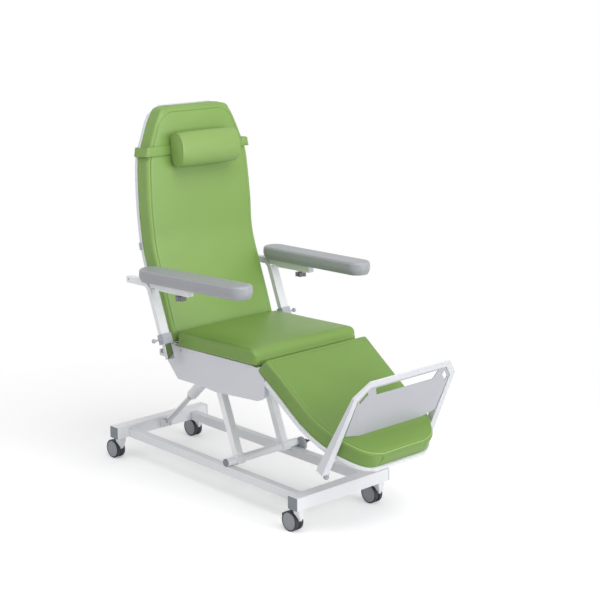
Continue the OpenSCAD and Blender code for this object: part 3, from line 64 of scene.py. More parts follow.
def put_in_scene(name, data):
    o = bpy.data.objects.new(name, data)
    bpy.context.scene.collection.objects.link(o)
    return o


# %% [markdown]
# The camera stands at the height of the backrest, to the right of the sitter's knees. Its lens and place were
# worked out from the square base frame, whose corners give the perspective. A long lens keeps upright lines
# nearly parallel. The camera comes first, so that every later step can be judged in the same picture.

# %% Camera
FOCAL_LENGTH, SENSOR_WIDTH = 89.873, 36
CAMERA_X, CAMERA_BEFORE_TILT, CAMERA_HEIGHT = -3.7799, 4.2999, 2.1712
CAMERA_PITCH, CAMERA_TURN = 76.36, -42.86

lens = bpy.data.cameras.new("studio_camera")
lens.lens = FOCAL_LENGTH
lens.sensor_width = SENSOR_WIDTH
camera = put_in_scene("studio_camera", lens)
camera.location = (CAMERA_X, joint_place["tilt"][1] - CAMERA_BEFORE_TILT, CAMERA_HEIGHT)
camera.rotation_euler = (rad(CAMERA_PITCH), 0, rad(CAMERA_TURN))
bpy.context.scene.camera = camera
bpy.context.scene.view_settings.view_transform = "Standard"
print("camera", [round(v, 3) for v in camera.location])

# %% [markdown]
# The room is a plain pale floor that runs out into white. White paper in a studio works the same way.
# The camera, mirrors and glass see plain white there, through Light Path, while the floor under the chair
# still takes its soft shadows. The lamps stay gentle, so that pale metal keeps its shape.

# %% Which rays see plain white
WHITE = (1, 1, 1, 1)


def number_node(nt, operation, *given):
    """A Math node, each of whose inputs is a plain number or the output of another node"""
    node = nt.nodes.new("ShaderNodeMath")
    node.operation = operation
    for socket, value in zip(node.inputs, given):
        if isinstance(value, (int, float)):
            socket.default_value = value
        else:
            nt.links.new(value, socket)
    return node.outputs["Value"]


def seen_plainly(nt):
    """1 for rays from the camera, from mirrors and through glass, 0 for the light that falls on things"""
    path = nt.nodes.new("ShaderNodeLightPath")
    mirror = number_node(nt, "MAXIMUM", path.outputs["Is Camera Ray"], path.outputs["Is Glossy Ray"])
    return number_node(nt, "MAXIMUM", mirror, path.outputs["Is Transmission Ray"])


# %% Finish of the floor
PAPER = (0.86, 0.86, 0.86, 1)
FLOOR_LIFT = 0.30
FADE_FROM, FADE_TO = 1.1, 2.2


def pale_ground():
    m = bpy.data.materials.new("pale_ground")
    m.use_nodes = True
    nt = m.node_tree
    nt.nodes.clear()
    seen = seen_plainly(nt)
    paper = nt.nodes.new("ShaderNodeBsdfDiffuse")
    paper.inputs["Color"].default_value = PAPER
    lift = nt.nodes.new("ShaderNodeEmission")
    lift.inputs["Color"].default_value = WHITE
    nt.links.new(number_node(nt, "MULTIPLY", seen, FLOOR_LIFT), lift.inputs["Strength"])
    near = nt.nodes.new("ShaderNodeAddShader")
    nt.links.new(paper.outputs["BSDF"], near.inputs[0])
    nt.links.new(lift.outputs["Emission"], near.inputs[1])
    far = nt.nodes.new("ShaderNodeEmission")
    far.inputs["Color"].default_value = WHITE
    far.inputs["Strength"].default_value = 1.0
    place = nt.nodes.new("ShaderNodeTexCoord")
    span = nt.nodes.new("ShaderNodeVectorMath")
    span.operation = "LENGTH"
    nt.links.new(place.outputs["Object"], span.inputs[0])
    fade = nt.nodes.new("ShaderNodeMapRange")
    fade.inputs["From Min"].default_value = FADE_FROM
    fade.inputs["From Max"].default_value = FADE_TO
    nt.links.new(span.outputs["Value"], fade.inputs["Value"])
    mix = nt.nodes.new("ShaderNodeMixShader")
    nt.links.new(number_node(nt, "MULTIPLY", fade.outputs["Result"], seen), mix.inputs["Fac"])
    nt.links.new(near.outputs["Shader"], mix.inputs[1])
    nt.links.new(far.outputs["Emission"], mix.inputs[2])
    out = nt.nodes.new("ShaderNodeOutputMaterial")
    nt.links.new(mix.outputs["Shader"], out.inputs["Surface"])
    return m


# %% Pale floor
FLOOR_HALF = 14

floor_grid = bmesh.new()
bmesh.ops.create_grid(floor_grid, x_segments=1, y_segments=1, size=FLOOR_HALF)
floor_mesh = bpy.data.meshes.new("studio_floor")
floor_grid.to_mesh(floor_mesh)
floor_grid.free()
floor_mesh.materials.append(pale_ground())
put_in_scene("studio_floor", floor_mesh)
print("floor", 2 * FLOOR_HALF, "m across, white from", FADE_TO, "m")

# %% Lamps
LAMPS = [  # name, place, aim, size in metres, power in watts
    ("high_softbox", (-0.8, -2.0, 4.0), (0, 0, 0.6), 2.6, 84),
    ("left_softbox", (-3.6, 1.0, 2.2), (0, 0, 0.7), 2.4, 24),
    ("front_softbox", (1.2, -4.6, 1.9), (0, 0, 0.6), 2.6, 118),
]
for name, place, aim, size, power in LAMPS:
    light = bpy.data.lights.new(name, "AREA")
    light.shape = "SQUARE"
    light.size = size
    light.energy = power
    lamp = put_in_scene(name, light)
    lamp.location = place
    lamp.rotation_euler = (Vector(aim) - Vector(place)).to_track_quat("-Z", "Y").to_euler()
print("lamps", len(LAMPS))

# %% White room
ROOM_LIGHT, ROOM_SEEN = 0.50, 1.0

world = bpy.data.worlds.new("white_room")
world.use_nodes = True
bpy.context.scene.world = world
wt = world.node_tree
wt.nodes.clear()
room_mix = wt.nodes.new("ShaderNodeMixShader")
wt.links.new(seen_plainly(wt), room_mix.inputs["Fac"])
for socket, strength in ((1, ROOM_LIGHT), (2, ROOM_SEEN)):
    wall = wt.nodes.new("ShaderNodeBackground")
    wall.inputs["Color"].default_value = WHITE
    wall.inputs["Strength"].default_value = strength
    wt.links.new(wall.outputs["Background"], room_mix.inputs[socket])
room_out = wt.nodes.new("ShaderNodeOutputWorld")
wt.links.new(room_mix.outputs["Shader"], room_out.inputs["Surface"])
print("room light", ROOM_LIGHT)

# %% [markdown]
# Several finishes share an effect: a fine grain that catches the light, or a slight change of tone over a
# large surface. Each effect is a node group that is built once. A material then places the group and gives
# it its own scale, so all the finishes keep the same logic and stay easy to change.

# %% Shared effect: tone drift
def effect_group(name, ins, outs):
    g = bpy.data.node_groups.new(name, "ShaderNodeTree")
    for n, kind, value in ins:
        s = g.interface.new_socket(name=n, in_out="INPUT", socket_type=kind)
        s.default_value = value
    for n, kind in outs:
        g.interface.new_socket(name=n, in_out="OUTPUT", socket_type=kind)
    return g, g.nodes.new("NodeGroupInput"), g.nodes.new("NodeGroupOutput")


DRIFT_SHADE = (0.35, 0.35, 0.35, 1)


def make_tone_drift():
    ins = [("Color", "NodeSocketColor", (0.8, 0.8, 0.8, 1)), ("Scale", "NodeSocketFloat", 6.0),
        ("Amount", "NodeSocketFloat", 0.08)]
    g, given, made = effect_group("tone_drift", ins, [("Color", "NodeSocketColor")])
    place = g.nodes.new("ShaderNodeTexCoord")
    cloud = g.nodes.new("ShaderNodeTexNoise")
    cloud.inputs["Detail"].default_value = 3
    g.links.new(place.outputs["Object"], cloud.inputs["Vector"])
    g.links.new(given.outputs["Scale"], cloud.inputs["Scale"])
    spread = g.nodes.new("ShaderNodeMapRange")
    spread.inputs["From Min"].default_value = 0.3
    spread.inputs["From Max"].default_value = 0.7
    g.links.new(cloud.outputs["Fac"], spread.inputs["Value"])
    shade = g.nodes.new("ShaderNodeMix")
    shade.data_type = "RGBA"
    shade.blend_type = "MULTIPLY"
    shade.inputs["B"].default_value = DRIFT_SHADE
    share = number_node(g, "MULTIPLY", spread.outputs["Result"], given.outputs["Amount"])
    g.links.new(share, shade.inputs["Factor"])
    g.links.new(given.outputs["Color"], shade.inputs["A"])
    g.links.new(shade.outputs["Result"], made.inputs["Color"])
    return g


tone_drift = make_tone_drift()
print("effect", tone_drift.name)

# %% Shared effect: fine grain
def make_fine_grain():
    ins = [("Scale", "NodeSocketFloat", 400.0), ("Pebble", "NodeSocketFloat", 0.5)]
    g, given, made = effect_group("fine_grain", ins, [("Height", "NodeSocketFloat")])
    place = g.nodes.new("ShaderNodeTexCoord")
    pebbles = g.nodes.new("ShaderNodeTexVoronoi")
    pebbles.feature = "DISTANCE_TO_EDGE"
    dust = g.nodes.new("ShaderNodeTexNoise")
    dust.inputs["Detail"].default_value = 4
    for texture in (pebbles, dust):
        g.links.new(place.outputs["Object"], texture.inputs["Vector"])
        g.links.new(given.outputs["Scale"], texture.inputs["Scale"])
    blend = g.nodes.new("ShaderNodeMix")
    g.links.new(given.outputs["Pebble"], blend.inputs["Factor"])
    g.links.new(dust.outputs["Fac"], blend.inputs["A"])
    g.links.new(pebbles.outputs["Distance"], blend.inputs["B"])
    g.links.new(blend.outputs["Result"], made.inputs["Height"])
    return g


fine_grain = make_fine_grain()
print("effect", fine_grain.name)

# %% [markdown]
# Finishes come next. Powder coat has a slight orange peel, vinyl has a leathery grain and a broad soft sheen,
# and moulded plastic has a fine spark-eroded texture. One helper builds a finish from its colour, its
# roughness and the two effects, because the finishes differ only in those values.

# %% Helper: one finish
DRIFT_SCALE = 6
GRAIN_HEIGHT = 1 * MM


def finish(name, color, rough, grain, pebble, depth, drift, metal=0.0, coat=0.0, spec=0.5):
    m = bpy.data.materials.new(name)
    m.use_nodes = True
    nt = m.node_tree
    shader = nt.nodes["Principled BSDF"]
    plain = {"Roughness": rough, "Metallic": metal, "Specular IOR Level": spec, "Coat Weight": coat,
        "Coat Roughness": 0.25}
    for socket, value in plain.items():
        shader.inputs[socket].default_value = value
    tone = nt.nodes.new("ShaderNodeGroup")
    tone.node_tree = tone_drift
    tone.inputs["Color"].default_value = (*color, 1)
    tone.inputs["Scale"].default_value = DRIFT_SCALE
    tone.inputs["Amount"].default_value = drift
    nt.links.new(tone.outputs["Color"], shader.inputs["Base Color"])
    relief = nt.nodes.new("ShaderNodeGroup")
    relief.node_tree = fine_grain
    relief.inputs["Scale"].default_value = grain
    relief.inputs["Pebble"].default_value = pebble
    bump = nt.nodes.new("ShaderNodeBump")
    bump.inputs["Strength"].default_value = depth
    bump.inputs["Distance"].default_value = GRAIN_HEIGHT
    nt.links.new(relief.outputs["Height"], bump.inputs["Height"])
    nt.links.new(bump.outputs["Normal"], shader.inputs["Normal"])
    return m


# %% [markdown]
# The vinyl is one roll of cloth, but the seat and the leg section lie in softer light than the back, and the
# pillow catches more. Each gets its own green, so that they keep those tones under plain lamps. The lift arms,
# the pivot tube and the rear tube are in the seat's shade and get a lighter paint for the same reason. The side
# covers, the footboard frame and its panel get darker copies of their white as painted shade. The seam lines
# are a darker green, painted shade of the crease along each seam, and the piping at the foot end is a paler
# green, a painted highlight along its edge.

# %% Finishes
FINISHES = [  # name, colour, roughness, grain scale, pebble share, bump depth, tone drift
    ("green_vinyl", (0.196, 0.332, 0.078), 0.42, 520, 0.6, 0.22, 0.06),
    ("seat_vinyl", (0.168, 0.294, 0.058), 0.42, 520, 0.6, 0.22, 0.06),
    ("leg_vinyl", (0.152, 0.268, 0.052), 0.42, 520, 0.6, 0.22, 0.06),
    ("pillow_vinyl", (0.222, 0.350, 0.094), 0.40, 520, 0.6, 0.22, 0.06),
    # The seam line is a real seam; its darker green is painted shade of the crease along it.
    ("seam_with_painted_shade", (0.115, 0.205, 0.045), 0.60, 900, 0.2, 0.10, 0.03),
    # The piping is real; its paler green is a painted highlight along the foot end's edge.
    ("piping_with_painted_highlight", (0.300, 0.450, 0.140), 0.40, 900, 0.2, 0.10, 0.03),
    ("grey_foam", (0.325, 0.335, 0.360), 0.40, 700, 0.2, 0.08, 0.05),
    ("white_metal", (0.760, 0.775, 0.800), 0.36, 260, 0.1, 0.06, 0.03),
    ("shaded_metal", (0.920, 0.930, 0.955), 0.36, 260, 0.1, 0.06, 0.02),
    ("dark_metal", (0.030, 0.031, 0.035), 0.42, 260, 0.1, 0.06, 0.05),
    ("white_plastic", (0.680, 0.690, 0.730), 0.32, 900, 0.2, 0.03, 0.02),
    # The side covers are the white plastic of the back board and tray, painted darker as painted shade.
    ("cover_painted_shade", (0.600, 0.610, 0.650), 0.32, 900, 0.2, 0.03, 0.02),
    # The footboard frame and its panel are white, painted darker as painted shade.
    ("footboard_painted_shade", (0.600, 0.610, 0.650), 0.34, 900, 0.2, 0.03, 0.02),
    ("panel_painted_shade", (0.400, 0.405, 0.445), 0.34, 900, 0.2, 0.03, 0.02),
    ("collar_grey", (0.400, 0.420, 0.460), 0.42, 900, 0.3, 0.06, 0.04),
    ("hub_grey", (0.270, 0.285, 0.320), 0.40, 900, 0.3, 0.06, 0.04),
    ("grey_plastic", (0.200, 0.225, 0.250), 0.48, 900, 0.3, 0.08, 0.04),
    ("dark_plastic", (0.028, 0.028, 0.031), 0.45, 800, 0.3, 0.08, 0.05),
    ("dark_tyre", (0.028, 0.030, 0.036), 0.60, 500, 0.2, 0.10, 0.10),
    ("bright_chrome", (0.520, 0.520, 0.540), 0.12, 60, 0.0, 0.01, 0.02),
    ("bare_steel", (0.580, 0.590, 0.610), 0.28, 300, 0.0, 0.03, 0.05),
    ("knob_steel", (0.200, 0.200, 0.215), 0.22, 200, 0.1, 0.03, 0.04),
]
BARE_METALS = ("bright_chrome", "bare_steel", "knob_steel")
FINISH = {}
for name, *values in FINISHES:
    extra = {"metal": 1.0} if name in BARE_METALS else {"coat": 0.05, "spec": 0.4} if "vinyl" in name else {}
    FINISH[name] = finish(name, *values, **extra)
for n, o in nodes.items():
    o.data.materials.clear()
    o.data.materials.append(FINISH[slot_of_node[n]])
print("finishes", len(FINISH))

# %% [markdown]
# Sheet metal and tubes never have knife edges. A tube is drawn through rollers, and powder coat rounds it
# further, so every edge catches a thin line of light. The construction model has the right places and sizes
# but sharp edges. A copy of its mesh is merged, its flat faces are joined, and its sharp edges are bevelled.
# That keeps each piece exactly where its body needs it, which modelling it again by eye would not.

# %% Helper: a mesh with its finish
MERGE_NEAR = 0.02 * MM
WELD_NEAR = 0.05 * MM


def collect(bm, name, material, smooth_angle):
    for f in bm.faces:
        f.smooth = True
    for e in bm.edges:
        if len(e.link_faces) == 2 and e.calc_face_angle(0) > rad(smooth_angle):
            e.smooth = False
    me = bpy.data.meshes.new(name)
    bm.to_mesh(me)
    bm.free()
    me.materials.append(FINISH[material])
    return put_in_scene(name, me)


# %% Helper: a softened copy of a construction piece
# Some pieces get another finish: a lighter paint for those in the seat's shade, and darker copies of white as
# painted shade for the side covers and the footboard.
LOOK = {"arm_collar": "collar_grey", "ball_knob": "collar_grey", "board_clips": "collar_grey",
    "caster_hubs": "hub_grey", "pivot_lock_housing": "collar_grey", "star_knob": "knob_steel",
    "clamp_knob": "collar_grey", "side_cover": "cover_painted_shade", "lift_arms": "shaded_metal",
    "rear_cross_tube": "shaded_metal", "pivot_tube": "shaded_metal", "footboard_panel": "panel_painted_shade",
    "footboard_frame": "footboard_painted_shade"}
FLAT_WITHIN, SHARP_ABOVE, CREASE_ABOVE = 0.6, 38, 32


def merged_copy(node):
    bm = bmesh.new()
    bm.from_mesh(nodes[node].data)
    bmesh.ops.remove_doubles(bm, verts=bm.verts, dist=MERGE_NEAR)
    bmesh.ops.dissolve_limit(bm, angle_limit=rad(FLAT_WITHIN), verts=bm.verts, edges=bm.edges)
    return bm


def softened(node, width, segments):
    bm = merged_copy(node)
    sharp = [e for e in bm.edges if len(e.link_faces) == 2 and e.calc_face_angle(0) > rad(SHARP_ABOVE)]
    bmesh.ops.bevel(bm, geom=sharp, offset=width, offset_type="OFFSET", segments=segments, profile=0.5,
        affect="EDGES", clamp_overlap=True, material=-1)
    look = next((m for start, m in LOOK.items() if node.startswith(start)), slot_of_node[node])
    o = collect(bm, node + "_finished", look, CREASE_ABOVE)
    shine = o.modifiers.new("even_shading", "WEIGHTED_NORMAL")
    shine.keep_sharp = True
    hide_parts(node)
    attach(o, body_of_node[node])
    return o


# %% [markdown]
# The base is welded from square stock. Its edges have a radius of about 3 mm, the rails a little less, and
# the plastic caps are pressed in with a small chamfer. Small parts such as levers and clips get less.

# %% Base frame, casters and mechanism
EDGE = {"rear_cross_tube": 3.5, "front_cross_tube": 3.5, "side_rails": 3.0, "tube_end_caps": 1.2,
    "pivot_tube": 0.8, "tilt_clevis": 1.2, "pivot_lock_housing": 1.5, "pivot_lock_handle": 1.2,
    "lift_arms": 2.2, "seat_frame": 2.0, "arm_uprights": 1.2, "pins_and_screws": 0.8,
    "side_cover_right": 1.1, "side_cover_left": 1.1, "tilt_cylinder": 1.5, "tilt_rod": 1.0,
    "back_spring_cylinder": 1.0, "back_spring_rod": 0.8, "leg_spring_cylinder": 1.0, "leg_spring_rod": 0.8,
    "back_frame": 1.5, "leg_frame": 1.5, "board_clips": 0.9, "footboard_frame": 3.0,
    "clamp_knob_right": 1.5, "clamp_knob_left": 1.5}
SIDE_EDGE = {"arm_post": 1.8, "arm_collar": 2.2, "arm_bar": 1.8, "ball_knob": 0.6, "brake_pedal": 1.2}
CASTER_EDGE = {"caster_housing": 2.2, "caster_hubs": 1.2, "caster_tyres": 2.8}
for side in ("right", "left"):
    EDGE.update({f"{piece}_{side}": width for piece, width in SIDE_EDGE.items()})
    for end in ("front", "rear"):
        EDGE.update({f"{piece}_{end}_{side}": width for piece, width in CASTER_EDGE.items()})
finished = [softened(node, width * MM, 3 if "tyre" in node or "footboard" in node else 2)
    for node, width in EDGE.items()]
print("softened", len(finished), "pieces,", sum(len(o.data.polygons) for o in finished), "faces")

# %% [markdown]
# Each cushion is a slab of foam in sewn vinyl: a flat panel on top, a band round the side, and a seam where
# they meet. The foam pushes the panel up in the middle and pulls the band in between its corners. A box is
# cut into many thin slices, closer together at its ends and along its seams. Each point then moves to its
# place: rounded at the edges, narrower at the corners, raised by the crown, and last bent along the path
# that the chair's frame follows. A cloth simulation would soften exactly the flat panels and straight seams
# that this upholstery has, so the swelling is worked out in code instead.

# %% Helper: a box in slices
def sliced_box(cuts_s, cuts_x, cuts_h):
    """A box 1 long, from -1 to 1 across and 1 high, cut at the given places"""
    bm = bmesh.new()
    bmesh.ops.create_cube(bm, size=1.0)
    bmesh.ops.translate(bm, vec=(0.5, 0, 0.5), verts=bm.verts)
    bmesh.ops.scale(bm, vec=(1, 2, 1), verts=bm.verts)
    for axis, cuts in ((0, cuts_s), (1, cuts_x), (2, cuts_h)):
        low = -0.9999 if axis == 1 else 0.0001
        normal = [0, 0, 0]
        normal[axis] = 1
        for c in sorted(set(round(c, 5) for c in cuts)):
            if low < c < 0.9999:
                place = [0, 0, 0]
                place[axis] = c
                bmesh.ops.bisect_plane(bm, geom=bm.verts[:] + bm.edges[:] + bm.faces[:], dist=1e-7,
                    plane_co=place, plane_no=normal)
    return bm


# %% Helpers: width, corners and path of a cushion
def between(table, x):
    for (a, p), (b, q) in zip(table, table[1:]):
        if x <= b:
            t = 0 if b == a else max(0.0, min(1.0, (x - a) / (b - a)))
            return p + (q - p) * t
    return table[-1][1]


def eased(table, x, spread=0.012):
    return sum(between(table, x + d * spread) for d in (-1, -0.5, 0, 0.5, 1)) / 5


def corner(distance, reach, amount):
    """How far a quarter of an ellipse takes the outline in, this far from the end"""
    if distance >= reach:
        return 0.0
    return amount * (1 - math.sqrt(max(0.0, 1 - (1 - max(distance, 0.0) / reach) ** 2)))


def both_ends(shape, s, k):
    """What the corners at both ends take away at s: k is 1 for the half width, 2 for the thickness"""
    first, last = [v * MM for v in shape["first"]], [v * MM for v in shape["last"]]
    return corner(s, first[0], first[k]), corner(shape["length"] - s, last[0], last[k])


def half_width(shape, s):
    start, end = both_ends(shape, s, 1)
    return shape["half"] * eased(shape["plan"], s / shape["length"]) - start - end


def path_point(path, s, h):
    """The point h above a path that runs straight to s1, bends to s2, and runs straight again"""
    start, s1, s2, h1, h2 = path
    if s <= s1:
        a, y, z = h1, s * math.cos(h1), s * math.sin(h1)
    else:
        r = (s2 - s1) / (h2 - h1)
        a = h1 + (h2 - h1) * (min(s, s2) - s1) / (s2 - s1)
        y = s1 * math.cos(h1) + r * (math.sin(a) - math.sin(h1)) + max(s - s2, 0) * math.cos(h2)
        z = s1 * math.sin(h1) - r * (math.cos(a) - math.cos(h1)) + max(s - s2, 0) * math.sin(h2)
    return start[0] + y - math.sin(a) * h, start[1] + z + math.cos(a) * h


# %% Helper: where a cushion is cut
EDGE_RADIUS = 15 * MM
SEAM_STEPS = [d * MM for d in (-5, -2.6, -1.1, 0, 1.1, 2.6, 5)]
COLUMNS = 34
LAYERS = (0.05, 0.15, 0.3, 0.45, 0.6, 0.7, 0.77, 0.84, 0.9, 0.95, 0.98)


def cushion_blank(shape, seam, rows):
    length, half = shape["length"], shape["half"]
    first, last = shape["first"][0] * MM, shape["last"][0] * MM
    quarter = [1 - math.cos(a * 0.157) for a in range(1, 11)]
    cuts_s = [i / rows for i in range(1, rows)]
    cuts_s += [first * q / length for q in quarter] + [1 - last * q / length for q in quarter]
    cuts_s += [(seam["first"] + d) / length for d in SEAM_STEPS]
    cuts_s += [1 - (seam["last"] + d) / length for d in SEAM_STEPS]
    inner = [seam["side"] + d for d in SEAM_STEPS] + [EDGE_RADIUS * t for t in (0.07, 0.2, 0.38, 0.6, 0.85)]
    cuts_x = [2 * i / COLUMNS - 1 for i in range(1, COLUMNS)]
    cuts_x += [1 - d / half for d in inner] + [d / half - 1 for d in inner]
    return sliced_box(cuts_s, cuts_x, LAYERS)


# %% Helpers: rounded edges, crown and seams of a cushion
PANEL_FROM, PANEL_EASE = 0.45, 0.4
CROWN_PAST, CROWN_REACH = 20 * MM, 90 * MM
PANEL_BULGE, BULGE_REACH = 1.2 * MM, 12 * MM
FURROW_DEPTH, FURROW_HALF, FURROW_REACH = 1.6 * MM, 1.7 * MM, 30 * MM
CORNER_REACH = 45 * MM


def rounded(s, x, h, length, w, t, r):
    """Moves a point of the box's skin onto a box with edges of radius r"""
    near = Vector((min(max(s, r), length - r), min(max(x, r - w), w - r), min(max(h, r), t - r)))
    out = Vector((s, x, h)) - near
    if out.length <= 1e-9:
        return s, x, h
    return near + out.normalized() * min(max(abs(c) for c in out), r)


def swelling(shape, seam, u, across, x, h, w, t):
    """How much the foam and the seams raise or lower a point of the top panel"""
    length = shape["length"]
    top = max(0.0, min(1.0, (h - t * PANEL_FROM) / (t * PANEL_EASE)))
    from_side = (1 - abs(across)) * shape["half"]
    to_end = min(u * length - seam["first"], length - u * length - seam["last"])
    inside = min(from_side - seam["side"], to_end)
    near_end = min(1.0, max(0.0, to_end + CROWN_PAST) / CROWN_REACH) ** 0.6
    rise = shape["crown"] * (1 - min(1.0, (x / w) ** 2)) * near_end
    rise += PANEL_BULGE * min(1.0, max(0.0, inside) / BULGE_REACH) ** 0.5
    at_corner = abs(from_side - seam["side"] - to_end) <= CORNER_REACH
    furrow_at = 1 if inside <= -FURROW_REACH or at_corner else abs(inside)
    rise -= FURROW_DEPTH * math.exp(-(furrow_at / FURROW_HALF) ** 2)
    return rise * top, top


# %% Helper: a sewn cushion along a bent path
SIDE_PULL = 4 * MM
RIPPLE = 0.7 * MM
FLAT_EDGE = 4 * MM


def cushion(name, body, node, shape, seam, seed, rows, vinyl):
    bm = cushion_blank(shape, seam, rows)
    length = shape["length"]
    for v in bm.verts:
        u, across, up = v.co
        s = u * length
        w = half_width(shape, s)
        start, end = both_ends(shape, s, 2)
        t = shape["thick"] - start - end
        r = min(EDGE_RADIUS, t * 0.45) if up > 0.5 else FLAT_EDGE
        s, x, h = rounded(s, across * w, up * t, length, w, t, r)
        side = max(0.0, (abs(x) - (w - r)) / r)
        x -= math.copysign(SIDE_PULL * side * math.sin(math.pi * min(max(h / t, 0), 1)), x)
        rise, top = swelling(shape, seam, u, across, x, h, w, t)
        place = Vector((s * 9 + seed, x * 7, 0.3))
        wave = noise.noise(place) + 0.45 * noise.noise(place * 2.7)
        v.co = (x, *path_point(shape["path"], s, h + rise + RIPPLE * wave * top))
    bmesh.ops.remove_doubles(bm, verts=bm.verts, dist=WELD_NEAR)
    bmesh.ops.recalc_face_normals(bm, faces=bm.faces)
    o = collect(bm, name, vinyl, 180)
    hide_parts(node)
    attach(o, body)
    return o


# %% [markdown]
# The seat's front edge rolls down over the frame, so that it doesn't press on the thighs. The back bends
# forward at the small of the back, and its top corners are well rounded. The leg cushion narrows towards the
# feet, where the footboard's arms pass beside it, and it bends slightly at the knee.

# %% Shapes of the seat, back and leg section
SEAT_LENGTH, SEAT_SLOPE = 0.484, -2
SEAT_PLAN = [(0.1, 1), (0.25, 0.994), (0.45, 0.99), (0.65, 0.992), (0.82, 0.997), (0.9, 1)]
BACK_PLAN = [(0.04, 0.996), (0.12, 1), (0.22, 0.994), (0.32, 0.99), (0.44, 0.99), (0.49, 0.992), (0.56, 1),
    (0.64, 0.994), (0.711, 0.981), (0.764, 0.968), (0.806, 0.937), (0.87, 0.844), (0.933, 0.752), (0.965, 0.69),
    (0.972, 0.655)]
LEG_PLAN = [(0, 0.49), (0.01, 0.565), (0.035, 0.648), (0.07, 0.715), (0.105, 0.765), (0.16, 0.838),
    (0.22, 0.895), (0.3, 0.94), (0.38, 0.966), (0.45, 0.975), (0.52, 0.98), (0.6, 0.984), (0.75, 0.987),
    (0.88, 0.995), (0.96, 1)]


def start_at(joint, y, z):
    return joint_place[joint][1] + y, joint_place[joint][2] + z


seat_start = start_at("tilt", 0.211703 - SEAT_LENGTH * math.cos(rad(-SEAT_SLOPE)),
    0.452662 + SEAT_LENGTH * math.sin(rad(-SEAT_SLOPE)))
back_start = start_at("recline", 0.003728, 0.010243)
leg_start = start_at("leg_raise", -0.486702, -0.281920)
# Path: its start, where its bend starts and ends, and its slope before and after the bend. Corners, in
# millimetres: how far they reach along the cushion, and what they take off its half width and thickness.
SEAT = dict(path=(seat_start, 2 * SEAT_LENGTH, 3 * SEAT_LENGTH, rad(SEAT_SLOPE), rad(-1.99)),
    length=SEAT_LENGTH, half=0.268, thick=0.056, crown=0.007, plan=SEAT_PLAN, first=(34, 12, 32),
    last=(30, 42, 12))
BACK = dict(path=(back_start, 0.340, 0.460, rad(70), rad(85.2)),
    length=0.945, half=0.270, thick=0.060, crown=0.007, plan=BACK_PLAN, first=(10, 10, 10), last=(24, 50, 14))
LEG = dict(path=(leg_start, 0.235, 0.315, rad(26.8), rad(35.3)),
    length=0.562, half=0.266, thick=0.060, crown=0.007, plan=LEG_PLAN, first=(8, 24, 8), last=(16, 5, 16))
print("cushion lengths", SEAT["length"], BACK["length"], LEG["length"])

# %% Cushions
SEAT_SEAM = {"side": 0.012, "first": 0.034, "last": 0.020}
BACK_SEAM = {"side": 0.020, "first": 0.020, "last": 0.026}
LEG_SEAM = {"side": 0.016, "first": 0.011, "last": 0.022}
seat_pad = cushion("seat_pad", "seat", "seat_cushion", SEAT, SEAT_SEAM, seed=3, rows=44, vinyl="seat_vinyl")
back_pad = cushion("back_pad", "back", "back_cushion", BACK, BACK_SEAM, seed=11, rows=80, vinyl="green_vinyl")
leg_pad = cushion("leg_pad", "leg", "leg_cushion", LEG, LEG_SEAM, seed=23, rows=54, vinyl="leg_vinyl")
print("cushions", [(o.name, len(o.data.polygons)) for o in (seat_pad, back_pad, leg_pad)])

# %% [markdown]
# Where panel and band are sewn together, the thread pulls a fine line round the cushion. At the corners the
# line is rounded, because a sewing machine can't turn on the spot. The line is worked out in the cushion's
# own length and width, dropped onto its surface with rays, and given the thickness of a folded seam.

# %% Helper: the line of a seam
ARC_POINTS = 15
SEAM_SPACING = 9 * MM
ACROSS_POINTS = 40


def seam_loop(shape, seam, turn):
    """Places (along, across) right round the cushion, from its first end"""
    low, high = seam["first"], shape["length"] - seam["last"]
    arc = [turn * (1 - math.cos(a * math.pi / 28)) for a in range(ARC_POINTS)]
    before, after = [low + a for a in arc], [high - a for a in reversed(arc)]
    n = round((after[0] - before[-1]) / SEAM_SPACING)
    middle = [before[-1] + (after[0] - before[-1]) * i / n for i in range(1, n)]
    side = []
    for s in before + middle + after:
        rounding = corner(s - low, turn, turn) + corner(high - s, turn, turn)
        side.append((s, half_width(shape, s) - seam["side"] - rounding))
    across = [1 - 2 * i / ACROSS_POINTS for i in range(1, ACROSS_POINTS)]
    loop = side + [(high, side[-1][1] * a) for a in across] + [(s, -x) for s, x in reversed(side)]
    return loop + [(low, -side[0][1] * a) for a in across]


# %% Helper: a seam laid on its cushion
ALL_ROUND = (0.0, 1.0)
RAY_START = 40 * MM


def seam_line(name, pad, body, shape, seam, turn, radius, material, part=ALL_ROUND, sink=0.35):
    loop = seam_loop(shape, seam, turn)
    first, last = (round(len(loop) * t) for t in part)
    tree = BVHTree.FromPolygons([v.co for v in pad.data.vertices], [q.vertices[:] for q in pad.data.polygons])
    points = []
    for i in range(first, last):
        s, x = loop[i % len(loop)]
        above = Vector((x, *path_point(shape["path"], s, shape["thick"] + RAY_START)))
        below = Vector((x, *path_point(shape["path"], s, 0.0)))
        hit, normal, _, _ = tree.ray_cast(above, (below - above).normalized())
        if hit:
            points.append(hit - normal * radius * sink)
    curve = bpy.data.curves.new(name, "CURVE")
    curve.dimensions = "3D"
    curve.bevel_depth = radius
    curve.bevel_resolution = 2
    spline = curve.splines.new("POLY")
    spline.points.add(len(points) - 1)
    for q, place in zip(spline.points, points):
        q.co = (*place, 1)
    spline.use_cyclic_u = part == ALL_ROUND
    curve.materials.append(FINISH[material])
    o = put_in_scene(name, curve)
    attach(o, body)
    return o


